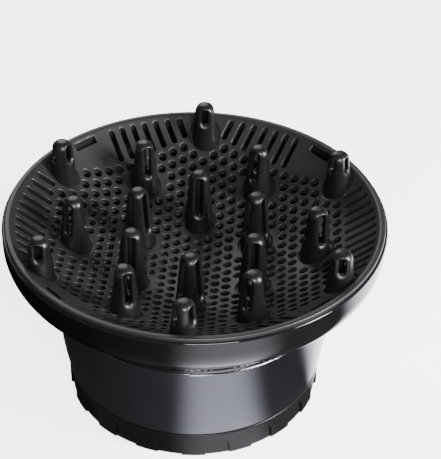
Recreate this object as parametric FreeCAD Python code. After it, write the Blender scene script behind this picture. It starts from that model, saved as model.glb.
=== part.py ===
"""Universal hair-dryer diffuser: finger dish, bowl shell, neck sleeve and a turning iris clamp.

Millimetres, +Z up through the dish. The origin is the bottom centre of the lock ring, on which
the diffuser stands. One ring of fingers points to +Y; angles run counter-clockwise from +X.
"""
import FreeCAD, Part
import os
from math import asin, atan2, ceil, cos, degrees, hypot, radians, sin, sqrt, tan

V = FreeCAD.Vector
Z_AXIS = V(0, 0, 1)
SIDE_AXIS = V(0, 1, 0)
CENTRE = V(0, 0, 0)
FULL_TURN = 360.0
TOOL_EXTRA = 10.0              # how far a cutting tool runs past the faces it cuts

# Overall sizes
RIM_RADIUS = 80.0              # outer radius of the dish flange
CLAMP_RADIUS = 33.0            # open radius between the pads; the neck is built round it
SLEEVE_HEIGHT = 37.2           # from the foot of the sleeve to its top
BOWL_RISE = 37.4               # from the top of the sleeve to the top of the flange

# Finger dish
DISH_DEPTH = 29.6              # from the rim plane down to the middle of the dish
DISH_WALL = 2.2
BAND_WIDTH = 2.3               # flat band round the dish edge
BAND_ROUND = 1.8               # rounding from the band into the dish
FLANGE_THICKNESS = 1.6
FLANGE_EDGE_ROUND = 0.7
SKIRT_WALL = 1.8               # locating skirt under the flange
SKIRT_DEPTH = 4.4
SKIRT_GAP = 0.25               # skirt to shell
HOLE_PITCH = 5.36              # triangular lattice of air holes, and the slots that continue it
HOLE_DIAMETER = 3.6
SLOT_WIDTH = 2.5
SLOT_START_INSET = 16.6        # from the flange edge to the straight line of the slots' inner ends
SLOT_END_INSET = 3.9           # from the flange edge to the slots' outer ends
LAND = 0.3                     # least plain wall between an opening and a finger's seat

# Snap hooks that hold the dish in the shell, each under its own moulding window
HOOK_COUNT = 4
HOOK_FIRST_ANGLE = 45.0
HOOK_WIDTH = 9.4
HOOK_THICKNESS = 1.9
HOOK_BARB = 1.9
HOOK_BARB_HEIGHT = 2.4
HOOK_DROP = 14.4               # from the rim plane to the foot of the hook
WINDOW_LENGTH = 11.3
WINDOW_DEPTH = 2.6             # radial width of the window
WINDOW_INSET = 3.9             # from the flange edge to the window's outer side
WINDOW_LAND = 2.5              # plain wall between a window and the nearest slot
CATCH_WIDTH = 13.0
CATCH_HEIGHT = 2.2
CATCH_GAP = 0.2

# Fingers: three rings of six, hollow, each pressed into a round seat in the dish
FINGERS_PER_RING = 6
FINGER_FIRST_ANGLE = 90.0
OUTER_RING_INSET = 10.0        # from the flange edge to the axes of the outer ring
RING_STEP_OUTER = 18.6         # outer ring to middle ring
RING_STEP_INNER = 21.9         # middle ring to inner ring
OUTER_TIP_RISE = 10.3          # finger tips above the rim plane
MIDDLE_TIP_RISE = 5.3
INNER_TIP_RISE = 0.8
OUTER_BASE_DIAMETER = 12.2
BASE_DIAMETER = 13.2
TIP_DIAMETER = 8.5
TIP_ROUND = 3.5
FINGER_WALL = 1.5
TIP_WALL = 1.2
SEAT_DEPTH = 0.8
SEAT_GAP = 0.5                 # open groove round a finger's foot
SPIGOT_DIAMETER = 8.4
SPIGOT_GAP = 0.1
SPIGOT_TAIL = 1.0              # how far the spigot stands out under the dish
WINDOWS_PER_FINGER = 3
FINGER_WINDOW_WIDTH = 2.7
FINGER_WINDOW_BEVEL = 1.7      # how far the bevel widens the window on each side
BEVEL_DEPTH = 1.2
WINDOW_BELOW_TIP = 1.6         # tip to the top of the clear opening
OUTER_WINDOW_HEIGHT = 7.4
MIDDLE_WINDOW_HEIGHT = 14.6
INNER_WINDOW_HEIGHT = 19.0

# Outer shell
SHELL_WALL = 2.0
SHELL_BULGE = 1.0              # the shell stands out past the flange
SHOULDER_RADIUS = 16.0
SHOULDER_DROP = 7.0            # rim plane to the height where the shoulder starts to curve in
SHELL_EDGE_ROUND = 0.8
NECK_FILLET = 8.5              # hollow curve from the cone into the collar
COLLAR_RISE = 2.2              # the collar ends this far up the hollow curve
COLLAR_STEP = 5.0              # from the neck tube out to the narrowest part of the shell
TUBE_MARGIN = 9.5              # from the circle of the pivots out to the neck tube's outside
TUBE_WALL = 2.7
TUBE_LEAD = 4.0                # taller throat that thickens the shell's foot
LIP_HEIGHT = 2.2
LIP_RELIEF = 1.0               # radial step that forms the lip at the tube's end

# Sleeve
SLEEVE_GAP = 0.2               # sleeve to tube, and sleeve to shell collar
SLEEVE_TOP_STEP = 0.5          # the sleeve stands out past the shell collar
SLEEVE_WALL = 2.2
SLEEVE_LAND = 4.0              # height of the bands at each end that fit the tube
SLEEVE_SWELL = 1.3             # how far the outline bows out from a straight taper
SLEEVE_ROUND = 0.7
KEY_COUNT = 3
KEY_WIDTH = 3.6
KEY_HEIGHT = 0.7
KEY_GAP = 0.15

# Lock ring
RING_GAP = 0.4                 # running clearance all round the lock ring
RING_FLOOR = 2.7
BORE_MARGIN = 3.4              # from the clamp's open radius to the throat
BEAD_HEIGHT = 2.4              # inner bead that snaps over the tube's lip
BEAD_COVER = 1.7               # ring wall above the bead
RECESS_COUNT = 17
RECESS_PHASE = -76.0
RECESS_SHARE = 0.49            # recess width as a share of the pitch
RECESS_MARGIN = 2.4            # from the top of a recess to the top of the ring
RECESS_DEPTH = 1.0
RING_EDGE_ROUND = 0.6

# Iris clamp
VANE_COUNT = 8
PIVOT_MARGIN = 11.0            # from the clamp's open radius to the circle of the pivots
PAD_THICKNESS = 1.5
BLADE_THICKNESS = 2.2
BLADE_START = 6.0              # degrees past the vane's own pivot
BLADE_END = 37.5
PAD_START = 9.0
PAD_END = 36.5
VANE_HEIGHT = 33.9
PAD_MARGIN = 3.0               # blade showing above and below the pad
BOSS_RADIUS = 3.4
PIN_RADIUS = 1.3
PIN_GAP = 0.08                 # running clearance of a vane on its pin
LEVER_LENGTH = 10.0
LEVER_RADIUS = 3.0
LEVER_HEIGHT = 2.6
DRIVE_PIN_RADIUS = 1.5
DRIVE_GAP = 0.35               # drive pin to the side of its slot
DRIVE_PIN_FLOOR = 0.6          # the drive pins stay this far above the standing surface
RING_TURN = 30.0               # lock ring, open to closed
VANE_SWING = 27.0              # vane, open to closed
SLOT_OVERRUN = 1.0             # degrees of spare slot past each end of the turn
SLOT_STEPS = 12

# Carriers and their screws
CARRIER_THICKNESS = 2.2
CARRIER_GAP = 0.2
CARRIER_OUTER_INSET = 0.5      # lower carrier edge inside the tube's outside
SCREW_COUNT = 4
SCREW_ANGLE = 28.0
SCREW_POST_RADIUS = 2.6
SCREW_POST_INSET = 2.0         # post axis to the tube's inside
SCREW_RADIUS = 1.0
SCREW_HEAD_RADIUS = 2.0
SCREW_HEAD_HEIGHT = 1.2
SCREW_LENGTH = 8.0
SCREW_GAP = 0.15
DRIVE_SOCKET_RADIUS = 0.75
DRIVE_SOCKET_DEPTH = 0.8

# Worked-out sizes
PIVOT_RADIUS = CLAMP_RADIUS + PIVOT_MARGIN
RING_BORE = CLAMP_RADIUS + BORE_MARGIN
TUBE_RADIUS = PIVOT_RADIUS + TUBE_MARGIN
NECK_RADIUS = TUBE_RADIUS + COLLAR_STEP
CARRIER_BOTTOM = RING_FLOOR + RING_GAP
TUBE_BOTTOM = CARRIER_BOTTOM + CARRIER_THICKNESS
LIP_TOP = TUBE_BOTTOM + LIP_HEIGHT
BEAD_BOTTOM = LIP_TOP + RING_GAP
BEAD_TOP = BEAD_BOTTOM + BEAD_HEIGHT
RING_HEIGHT = BEAD_TOP + BEAD_COVER
RECESS_TOP = RING_HEIGHT - RECESS_MARGIN
SLEEVE_BOTTOM = RING_HEIGHT + RING_GAP
SLEEVE_TOP = SLEEVE_BOTTOM + SLEEVE_HEIGHT
RIM_HEIGHT = SLEEVE_TOP + BOWL_RISE
VANE_BOTTOM = TUBE_BOTTOM + RING_GAP
VANE_TOP = VANE_BOTTOM + VANE_HEIGHT
UPPER_CARRIER_BOTTOM = VANE_TOP + RING_GAP
UPPER_CARRIER_TOP = UPPER_CARRIER_BOTTOM + CARRIER_THICKNESS
BOWL_RADIUS = RIM_RADIUS - BAND_WIDTH
SPHERE_RADIUS = (BOWL_RADIUS ** 2 + DISH_DEPTH ** 2) / (2 * DISH_DEPTH)
SPHERE_CENTRE = RIM_HEIGHT - DISH_DEPTH + SPHERE_RADIUS
SEAT_SPHERE = SPHERE_RADIUS + SEAT_DEPTH
UNDER_SPHERE = SPHERE_RADIUS + DISH_WALL
OUTER_RING_RADIUS = RIM_RADIUS - OUTER_RING_INSET
MIDDLE_RING_RADIUS = OUTER_RING_RADIUS - RING_STEP_OUTER
INNER_RING_RADIUS = MIDDLE_RING_RADIUS - RING_STEP_INNER
SLOT_START = RIM_RADIUS - SLOT_START_INSET
SLOT_END = RIM_RADIUS - SLOT_END_INSET
SECTOR = FULL_TURN / FINGERS_PER_RING
FLANGE_UNDERSIDE = RIM_HEIGHT - FLANGE_THICKNESS
SHELL_RADIUS = RIM_RADIUS + SHELL_BULGE
SHOULDER_Z = RIM_HEIGHT - SHOULDER_DROP
SHOULDER_CENTRE = SHELL_RADIUS - SHOULDER_RADIUS
TUBE_BORE = TUBE_RADIUS - TUBE_WALL
TUBE_STEP_RADIUS = TUBE_RADIUS - LIP_RELIEF
SLEEVE_BORE = TUBE_RADIUS + SLEEVE_GAP
RING_RADIUS = SLEEVE_BORE + SLEEVE_WALL
BLADE_INNER = CLAMP_RADIUS + PAD_THICKNESS
BLADE_OUTER = BLADE_INNER + BLADE_THICKNESS
VANE_RATIO = VANE_SWING / RING_TURN
SCREW_CIRCLE = TUBE_BORE - SCREW_POST_INSET
HOOK_OUTER = RIM_RADIUS - WINDOW_INSET - WINDOW_DEPTH


# Small helpers
def spot(radius, angle, z=0.0):
    """A point at a radius and an angle in degrees round the axis."""
    return V(radius * cos(radians(angle)), radius * sin(radians(angle)), z)


def rz(radius, z):
    """A point of a turned outline."""
    return V(radius, 0, z)


def line(start, end):
    return Part.LineSegment(start, end).toShape()


def arc(start, middle, end):
    return Part.Arc(start, middle, end).toShape()


def arc_about(centre, start, end):
    """The short arc from start to end round a centre."""
    radius = (start - centre).Length
    half_way = (start + end) * 0.5 - centre
    half_way.normalize()
    return arc(start, centre + half_way * radius, end)


def rounded_outline(corners):
    """A closed wire through (point, rounding radius) corners."""
    edges = []
    last = None
    first = None
    for index, (point, radius) in enumerate(corners):
        before = corners[index - 1][0] - point
        after = corners[(index + 1) % len(corners)][0] - point
        if radius == 0:
            entry = leave = point
        else:
            before.normalize()
            after.normalize()
            half = before.getAngle(after) / 2
            reach = radius / tan(half)
            entry = point + before * reach
            leave = point + after * reach
        if last is not None and last.distanceToPoint(entry) > 1e-6:
            edges.append(line(last, entry))
        if first is None:
            first = entry
        if radius != 0:
            bisector = before + after
            bisector.normalize()
            centre = point + bisector * (radius / sin(half))
            edges.append(arc(entry, centre - bisector * radius, leave))
        last = leave
    if last.distanceToPoint(first) > 1e-6:
        edges.append(line(last, first))
    return Part.Wire(edges)


def turned(outline):
    """A solid turned round +Z from a closed outline of (radius, 0, z) points."""
    return Part.Face(outline).revolve(CENTRE, Z_AXIS, FULL_TURN)


def raised(outline, height):
    """A solid raised from a closed flat outline."""
    return Part.Face(outline).extrude(V(0, 0, height))


def ring_plate(inner, outer, bottom, height):
    corners = [(rz(inner, bottom), 0), (rz(outer, bottom), 0)]
    corners += [(rz(outer, bottom + height), 0), (rz(inner, bottom + height), 0)]
    return turned(rounded_outline(corners))


def rod(centre, radius, height):
    return Part.makeCylinder(radius, height, centre, Z_AXIS)


def capsule(start, end, radius, height):
    """An upright bar with round ends, from one axis to another."""
    along = end - start
    along.normalize()
    across = V(-along.y, along.x, 0) * radius
    edges = [line(start + across, end + across)]
    edges.append(arc(end + across, end + along * radius, end - across))
    edges.append(line(end - across, start - across))
    edges.append(arc(start - across, start - along * radius, start + across))
    return raised(Part.Wire(edges), height)


def turned_to(shape, angle):
    copy = shape.copy()
    copy.rotate(CENTRE, Z_AXIS, angle)
    return copy


def around(shape, count, first=0.0):
    """Copies of a shape, evenly spaced round the axis."""
    return [turned_to(shape, first + index * FULL_TURN / count) for index in range(count)]


def bar(radius_in, radius_out, width, bottom, height):
    """A straight radial bar on the +X side."""
    return Part.makeBox(radius_out - radius_in, width, height, V(radius_in, -width / 2, bottom))


def save(name, shape):
    shape.exportStep("parts/" + name + ".step")


# Finger dish
def sphere_z(radius, sphere):
    """Height of a dish sphere at a radius from the axis."""
    return SPHERE_CENTRE - sqrt(sphere ** 2 - radius ** 2)


def dish_blank():
    """The plain dish: spherical wall, flat band, flange and locating skirt."""
    centre = rz(0, SPHERE_CENTRE)
    round_z = RIM_HEIGHT - BAND_ROUND
    round_radius = sqrt((SPHERE_RADIUS + BAND_ROUND) ** 2 - (SPHERE_CENTRE - round_z) ** 2)
    round_centre = rz(round_radius, round_z)
    away = round_centre - centre
    away.normalize()
    meet = centre + away * SPHERE_RADIUS
    skirt_outer = SHELL_RADIUS - SHELL_WALL - SKIRT_GAP
    skirt_inner = skirt_outer - SKIRT_WALL
    skirt_foot = FLANGE_UNDERSIDE - SKIRT_DEPTH
    under_edge = rz(skirt_inner, sphere_z(skirt_inner, UNDER_SPHERE))
    edge_centre = rz(RIM_RADIUS - FLANGE_EDGE_ROUND, RIM_HEIGHT - FLANGE_EDGE_ROUND)
    edge_top = rz(RIM_RADIUS - FLANGE_EDGE_ROUND, RIM_HEIGHT)
    edge_side = rz(RIM_RADIUS, RIM_HEIGHT - FLANGE_EDGE_ROUND)
    bottom = rz(0, SPHERE_CENTRE - SPHERE_RADIUS)
    under = rz(0, SPHERE_CENTRE - UNDER_SPHERE)
    edges = [arc_about(centre, bottom, meet)]
    edges.append(arc_about(round_centre, meet, rz(round_radius, RIM_HEIGHT)))
    edges.append(line(rz(round_radius, RIM_HEIGHT), edge_top))
    edges.append(arc_about(edge_centre, edge_top, edge_side))
    edges.append(line(edge_side, rz(RIM_RADIUS, FLANGE_UNDERSIDE)))
    edges.append(line(rz(RIM_RADIUS, FLANGE_UNDERSIDE), rz(skirt_outer, FLANGE_UNDERSIDE)))
    edges.append(line(rz(skirt_outer, FLANGE_UNDERSIDE), rz(skirt_outer, skirt_foot)))
    edges.append(line(rz(skirt_outer, skirt_foot), rz(skirt_inner, skirt_foot)))
    edges.append(line(rz(skirt_inner, skirt_foot), under_edge))
    edges.append(arc_about(centre, under_edge, under))
    edges.append(line(under, bottom))
    return turned(Part.Wire(edges))


def finger_places():
    """(ring name, number, axis radius, angle, base radius) of every finger."""
    rings = [("inner", INNER_RING_RADIUS, 0.0, BASE_DIAMETER)]
    rings.append(("middle", MIDDLE_RING_RADIUS, SECTOR / 2, BASE_DIAMETER))
    rings.append(("outer", OUTER_RING_RADIUS, 0.0, OUTER_BASE_DIAMETER))
    places = []
    for name, radius, offset, base in rings:
        for index in range(FINGERS_PER_RING):
            angle = FINGER_FIRST_ANGLE + offset + index * SECTOR
            places.append((name, index + 1, radius, angle, base / 2))
    return places


def clear_of_seats(point, reach, places):
    """True when an opening of this reach leaves a land round every finger's seat."""
    for _, _, radius, angle, base in places:
        keep_out = base + SEAT_GAP + LAND + reach
        if (point - spot(radius, angle)).Length < keep_out:
            return False
    return True


def along_bisectors(point):
    """The largest distance of a point along the six sector bisectors."""
    reach = 0.0
    for index in range(FINGERS_PER_RING):
        bisector = spot(1, FINGER_FIRST_ANGLE + (index + 0.5) * SECTOR)
        reach = max(reach, point.dot(bisector))
    return reach


def hole_points(places):
    """Centres of the air holes: a triangular lattice inside the hexagon of slots."""
    first = spot(HOLE_PITCH, FINGER_FIRST_ANGLE)
    second = spot(HOLE_PITCH, FINGER_FIRST_ANGLE + SECTOR)
    edge = SLOT_START - HOLE_DIAMETER / 2
    steps = ceil(2 * edge / HOLE_PITCH)
    points = []
    for across in range(-steps, steps + 1):
        for up in range(-steps, steps + 1):
            point = first * across + second * up
            inside = along_bisectors(point) <= edge
            if inside and clear_of_seats(point, HOLE_DIAMETER / 2, places):
                points.append(point)
    return points


def slot_lines(places):
    """Start and end axes of the rim slots, parallel to the bisector of their sector."""
    lines = []
    half = SLOT_WIDTH / 2
    count = int(SLOT_END * sin(radians(SECTOR / 2)) / HOLE_PITCH)
    windows = [HOOK_FIRST_ANGLE + index * FULL_TURN / HOOK_COUNT for index in range(HOOK_COUNT)]
    for index in range(FINGERS_PER_RING):
        middle = FINGER_FIRST_ANGLE + (index + 0.5) * SECTOR
        along = spot(1, middle)
        across = spot(1, middle + 90)
        for number in range(-count, count + 1):
            shift = number * HOLE_PITCH
            start = along * (SLOT_START + half) + across * shift
            end = along * (sqrt((SLOT_END - half) ** 2 - shift ** 2)) + across * shift
            near_window = False
            for window in windows:
                beside = abs(end.dot(spot(1, window + 90))) < WINDOW_LENGTH / 2 + half + WINDOW_LAND
                near_window = near_window or (beside and end.dot(spot(1, window)) > 0)
            clear = clear_of_seats(start, half, places) and clear_of_seats(end, half, places)
            if clear and not near_window:
                lines.append((start, end))
    return lines


def face_dish():
    places = finger_places()
    low = V(0, 0, sphere_z(0, UNDER_SPHERE) - TOOL_EXTRA)
    tall = RIM_HEIGHT - low.z + TOOL_EXTRA
    dish = dish_blank()
    seats = [rod(spot(radius, angle) + low, base + SEAT_GAP, tall)
             for _, _, radius, angle, base in places]
    scoop = Part.makeSphere(SEAT_SPHERE, V(0, 0, SPHERE_CENTRE))
    dish = dish.cut(Part.makeCompound(seats).common(scoop))
    tools = [rod(spot(radius, angle) + low, SPIGOT_DIAMETER / 2 + SPIGOT_GAP, tall)
             for _, _, radius, angle, _ in places]
    tools += [rod(point + low, HOLE_DIAMETER / 2, tall) for point in hole_points(places)]
    tools += [capsule(start + low, end + low, SLOT_WIDTH / 2, tall)
              for start, end in slot_lines(places)]
    window = bar(HOOK_OUTER, HOOK_OUTER + WINDOW_DEPTH, WINDOW_LENGTH, low.z, tall)
    tools += around(window, HOOK_COUNT, HOOK_FIRST_ANGLE)
    dish = dish.cut(Part.makeCompound(tools))
    return dish.fuse(around(snap_hook(), HOOK_COUNT, HOOK_FIRST_ANGLE)).removeSplitter()


def snap_hook():
    """A leg under the dish with an outward barb, below its window."""
    foot = RIM_HEIGHT - HOOK_DROP
    leg_inner = HOOK_OUTER - HOOK_THICKNESS
    root = sphere_z(leg_inner, UNDER_SPHERE) + DISH_WALL / 2
    root_outer = sphere_z(HOOK_OUTER, UNDER_SPHERE) + DISH_WALL / 2
    barb_tip = HOOK_OUTER + HOOK_BARB
    points = [rz(leg_inner, foot), rz(HOOK_OUTER, foot), rz(barb_tip, foot + HOOK_BARB)]
    points += [rz(barb_tip, foot + HOOK_BARB_HEIGHT), rz(HOOK_OUTER, foot + HOOK_BARB_HEIGHT)]
    points += [rz(HOOK_OUTER, root_outer), rz(leg_inner, root)]
    face = Part.Face(rounded_outline([(point, 0) for point in points]))
    face.translate(V(0, -HOOK_WIDTH / 2, 0))
    return face.extrude(V(0, HOOK_WIDTH, 0))


# Fingers
def stadium(width, height, distance, middle_z, tilt):
    """An upright stadium outline facing +X, leaning with the finger's side."""
    half = width / 2
    straight = height / 2 - half
    edges = [line(V(0, half, -straight), V(0, half, straight))]
    edges.append(arc(V(0, half, straight), V(0, 0, straight + half), V(0, -half, straight)))
    edges.append(line(V(0, -half, straight), V(0, -half, -straight)))
    edges.append(arc(V(0, -half, -straight), V(0, 0, -straight - half), V(0, half, -straight)))
    wire = Part.Wire(edges)
    wire.rotate(CENTRE, SIDE_AXIS, -tilt)
    wire.translate(V(distance, 0, middle_z))
    return wire


def finger(axis_radius, base, tip_z, window_height):
    """One finger on the +X side of the dish, its foot cut to the seat."""
    tip = TIP_DIAMETER / 2
    foot_z = sphere_z(axis_radius - base, SEAT_SPHERE)
    tail_z = sphere_z(axis_radius - SPIGOT_DIAMETER / 2, UNDER_SPHERE) - SPIGOT_TAIL
    root_z = sphere_z(axis_radius + base, SEAT_SPHERE)
    corners = [(rz(0, foot_z), 0), (rz(base, foot_z), 0), (rz(tip, tip_z), TIP_ROUND)]
    cone = turned(rounded_outline(corners + [(rz(0, tip_z), 0)]))
    bore_top = tip_z - TIP_WALL
    bore = SPIGOT_DIAMETER / 2 - FINGER_WALL
    bore_corners = [(rz(0, tail_z - TOOL_EXTRA), 0), (rz(bore, tail_z - TOOL_EXTRA), 0)]
    bore_corners += [(rz(bore, bore_top), bore / 2), (rz(0, bore_top), 0)]
    hollow = turned(rounded_outline(bore_corners))
    place = V(axis_radius, 0, 0)
    cone.translate(place)
    body = cone.common(Part.makeSphere(SEAT_SPHERE, V(0, 0, SPHERE_CENTRE)))
    spigot = rod(place + V(0, 0, tail_z), SPIGOT_DIAMETER / 2, root_z - tail_z)
    body = body.fuse(spigot)
    hollow.translate(place)
    body = body.cut(hollow)
    tilt = degrees(atan2(base - tip, tip_z - foot_z))
    middle_z = tip_z - WINDOW_BELOW_TIP - window_height / 2
    surface = tip + (tip_z - middle_z) * tan(radians(tilt))
    cuts = []
    for index in range(WINDOWS_PER_FINGER):
        opening = Part.Face(stadium(FINGER_WINDOW_WIDTH, window_height, 0, middle_z, tilt))
        opening = opening.extrude(V(surface + TOOL_EXTRA, 0, 0))
        flare = FINGER_WINDOW_BEVEL * 2
        outer = stadium(FINGER_WINDOW_WIDTH + flare, window_height + flare, surface, middle_z, tilt)
        inner = stadium(FINGER_WINDOW_WIDTH, window_height, surface - BEVEL_DEPTH, middle_z, tilt)
        bevel = Part.makeLoft([inner, outer], True, True)
        outside = Part.Face(outer).extrude(V(TOOL_EXTRA, 0, 0))
        for tool in (opening, bevel, outside):
            tool.rotate(CENTRE, Z_AXIS, 180 + index * FULL_TURN / WINDOWS_PER_FINGER)
            tool.translate(place)
            cuts.append(tool)
    return body.cut(cuts).removeSplitter()


def save_fingers():
    makes = {}
    inner_tip = RIM_HEIGHT + INNER_TIP_RISE
    middle_tip = RIM_HEIGHT + MIDDLE_TIP_RISE
    outer_tip = RIM_HEIGHT + OUTER_TIP_RISE
    for name, number, radius, angle, base in finger_places():
        if name == "inner" and name not in makes:
            makes[name] = finger(radius, base, inner_tip, INNER_WINDOW_HEIGHT)
        if name == "middle" and name not in makes:
            makes[name] = finger(radius, base, middle_tip, MIDDLE_WINDOW_HEIGHT)
        if name == "outer" and name not in makes:
            makes[name] = finger(radius, base, outer_tip, OUTER_WINDOW_HEIGHT)
        save("finger_%s_%d" % (name, number), turned_to(makes[name], angle))


# Outer shell
def shell_blank():
    """The glossy bowl with its shoulder, cone and neck tube, ending in the ring's lip."""
    collar_z = SLEEVE_TOP + SLEEVE_GAP
    centre = rz(SHOULDER_CENTRE, SHOULDER_Z)
    fillet_centre = rz(NECK_RADIUS + NECK_FILLET, collar_z - COLLAR_RISE)
    between = centre - fillet_centre
    lean = atan2(between.z, between.x) - asin((SHOULDER_RADIUS + NECK_FILLET) / between.Length)
    outward = rz(sin(lean), -cos(lean))
    leave = centre + outward * SHOULDER_RADIUS
    inner_leave = centre + outward * (SHOULDER_RADIUS - SHELL_WALL)
    fillet_top = fillet_centre - outward * NECK_FILLET
    collar = rz(fillet_centre.x - sqrt(NECK_FILLET ** 2 - COLLAR_RISE ** 2), collar_z)
    inner_side = rz(SHELL_RADIUS - SHELL_WALL, SHOULDER_Z)
    inner_top = rz(inner_side.x, FLANGE_UNDERSIDE)
    top_round = rz(SHELL_RADIUS - SHELL_EDGE_ROUND, FLANGE_UNDERSIDE - SHELL_EDGE_ROUND)
    outer_top = rz(top_round.x, FLANGE_UNDERSIDE)
    outer_side = rz(SHELL_RADIUS, top_round.z)
    edges = [line(inner_top, outer_top), arc_about(top_round, outer_top, outer_side)]
    edges.append(line(outer_side, rz(SHELL_RADIUS, SHOULDER_Z)))
    edges.append(arc_about(centre, rz(SHELL_RADIUS, SHOULDER_Z), leave))
    edges.append(line(leave, fillet_top))
    edges.append(arc_about(fillet_centre, fillet_top, collar))
    corners = [collar, rz(TUBE_RADIUS, collar_z), rz(TUBE_RADIUS, SLEEVE_BOTTOM)]
    corners += [rz(TUBE_STEP_RADIUS, SLEEVE_BOTTOM), rz(TUBE_STEP_RADIUS, LIP_TOP)]
    corners += [rz(TUBE_RADIUS, LIP_TOP), rz(TUBE_RADIUS, TUBE_BOTTOM)]
    corners += [rz(TUBE_BORE, TUBE_BOTTOM), rz(TUBE_BORE, collar_z + TUBE_LEAD), inner_leave]
    edges += [line(start, end) for start, end in zip(corners, corners[1:])]
    edges.append(arc_about(centre, inner_leave, inner_side))
    edges.append(line(inner_side, inner_top))
    return turned(Part.Wire(edges))


def shell_catches():
    """Inward blocks that the dish's barbs snap under."""
    top = RIM_HEIGHT - HOOK_DROP + HOOK_BARB_HEIGHT + CATCH_GAP + CATCH_HEIGHT
    bottom = top - CATCH_HEIGHT
    inner = HOOK_OUTER + CATCH_GAP
    wall_bottom = shell_middle(bottom)
    wall_top = shell_middle(top)
    points = [rz(inner, bottom), rz(wall_bottom, bottom), rz(wall_top, top), rz(inner, top)]
    block = turned(rounded_outline([(point, 0) for point in points]))
    reach = bar(0, SHELL_RADIUS, CATCH_WIDTH, bottom - TOOL_EXTRA, CATCH_HEIGHT + 2 * TOOL_EXTRA)
    return around(block.common(reach), HOOK_COUNT, HOOK_FIRST_ANGLE)


def shell_middle(z):
    """Radius half-way through the shoulder's wall at a height."""
    drop = max(0.0, SHOULDER_Z - z)
    return SHOULDER_CENTRE + sqrt((SHOULDER_RADIUS - SHELL_WALL / 2) ** 2 - drop ** 2)


def screw_posts():
    """Upright posts inside the tube that both carriers are screwed to."""
    height = UPPER_CARRIER_BOTTOM - TUBE_BOTTOM
    post = rod(V(SCREW_CIRCLE, 0, TUBE_BOTTOM), SCREW_POST_RADIUS, height)
    web = bar(SCREW_CIRCLE, TUBE_BORE + TUBE_WALL / 2, SCREW_POST_RADIUS, TUBE_BOTTOM, height)
    pilot = rod(V(SCREW_CIRCLE, 0, TUBE_BOTTOM), SCREW_RADIUS, height)
    return around(post.fuse(web).cut(pilot), SCREW_COUNT, SCREW_ANGLE)


def sleeve_keys(extra):
    """Ribs on the tube that stop the sleeve from turning."""
    bottom = SLEEVE_BOTTOM + SLEEVE_WALL
    height = SLEEVE_TOP - SLEEVE_WALL - bottom
    inner = TUBE_RADIUS - TUBE_WALL / 2
    key = bar(inner, TUBE_RADIUS + KEY_HEIGHT + extra, KEY_WIDTH + 2 * extra, bottom, height)
    return around(key, KEY_COUNT)


def outer_shell():
    shell = shell_blank()
    return shell.fuse(shell_catches() + screw_posts() + sleeve_keys(0)).removeSplitter()


def neck_sleeve():
    """Satin sleeve between the shell's collar and the lock ring, hollow behind its middle."""
    top_radius = NECK_RADIUS + SLEEVE_TOP_STEP
    foot = rz(RING_RADIUS, SLEEVE_BOTTOM + SLEEVE_ROUND)
    head = rz(top_radius, SLEEVE_TOP - SLEEVE_ROUND)
    middle = (foot + head) * 0.5 + rz(SLEEVE_SWELL, 0)
    foot_in = rz(RING_RADIUS - SLEEVE_ROUND, SLEEVE_BOTTOM)
    head_in = rz(top_radius - SLEEVE_ROUND, SLEEVE_TOP)
    edges = [arc(foot, middle, head)]
    edges.append(arc_about(rz(head_in.x, head.z), head, head_in))
    edges.append(line(head_in, rz(SLEEVE_BORE, SLEEVE_TOP)))
    edges.append(line(rz(SLEEVE_BORE, SLEEVE_TOP), rz(SLEEVE_BORE, SLEEVE_BOTTOM)))
    edges.append(line(rz(SLEEVE_BORE, SLEEVE_BOTTOM), foot_in))
    edges.append(arc_about(rz(foot_in.x, foot.z), foot_in, foot))
    sleeve = turned(Part.Wire(edges))
    return sleeve.cut([sleeve_pocket(foot, middle, head)] + sleeve_keys(KEY_GAP))


def sleeve_pocket(foot, middle, head):
    """The hollow between the sleeve's wall and the neck tube."""
    bow = Part.Circle(foot, middle, head)
    reach = bow.Radius - SLEEVE_WALL
    heights = (SLEEVE_BOTTOM + SLEEVE_LAND, middle.z, SLEEVE_TOP - SLEEVE_LAND)
    wall = [rz(bow.Center.x + sqrt(reach ** 2 - (z - bow.Center.z) ** 2), z) for z in heights]
    inner = TUBE_RADIUS
    edges = [arc(*wall), line(wall[2], rz(inner, heights[2]))]
    edges.append(line(rz(inner, heights[2]), rz(inner, heights[0])))
    edges.append(line(rz(inner, heights[0]), wall[0]))
    return turned(Part.Wire(edges))


# Iris clamp
def drive_point(turn):
    """Where a drive pin stands in the lock ring when the ring has turned this far."""
    swing = radians(turn * VANE_RATIO)
    x = PIVOT_RADIUS - LEVER_LENGTH * sin(swing)
    y = LEVER_LENGTH * cos(swing)
    return spot(hypot(x, y), degrees(atan2(y, x)) - turn)


def cam_slot():
    """Spiral slot that turns the lock ring's motion into the swing of one vane."""
    reach = DRIVE_PIN_RADIUS + DRIVE_GAP
    first = -SLOT_OVERRUN
    step = (RING_TURN + 2 * SLOT_OVERRUN) / SLOT_STEPS
    left = []
    right = []
    for index in range(SLOT_STEPS + 1):
        turn = first + index * step
        along = drive_point(turn + step / 2) - drive_point(turn - step / 2)
        along.normalize()
        across = V(-along.y, along.x, 0) * reach
        left.append(drive_point(turn) + across)
        right.append(drive_point(turn) - across)
        if index == 0:
            start_tip = drive_point(turn) - along * reach
        end_tip = drive_point(turn) + along * reach
    right.reverse()
    left_side = Part.BSplineCurve()
    left_side.interpolate(left)
    right_side = Part.BSplineCurve()
    right_side.interpolate(right)
    edges = [left_side.toShape(), arc(left[-1], end_tip, right[0])]
    edges += [right_side.toShape(), arc(right[-1], start_tip, left[0])]
    return raised(Part.Wire(edges), RING_FLOOR + TOOL_EXTRA)


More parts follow.
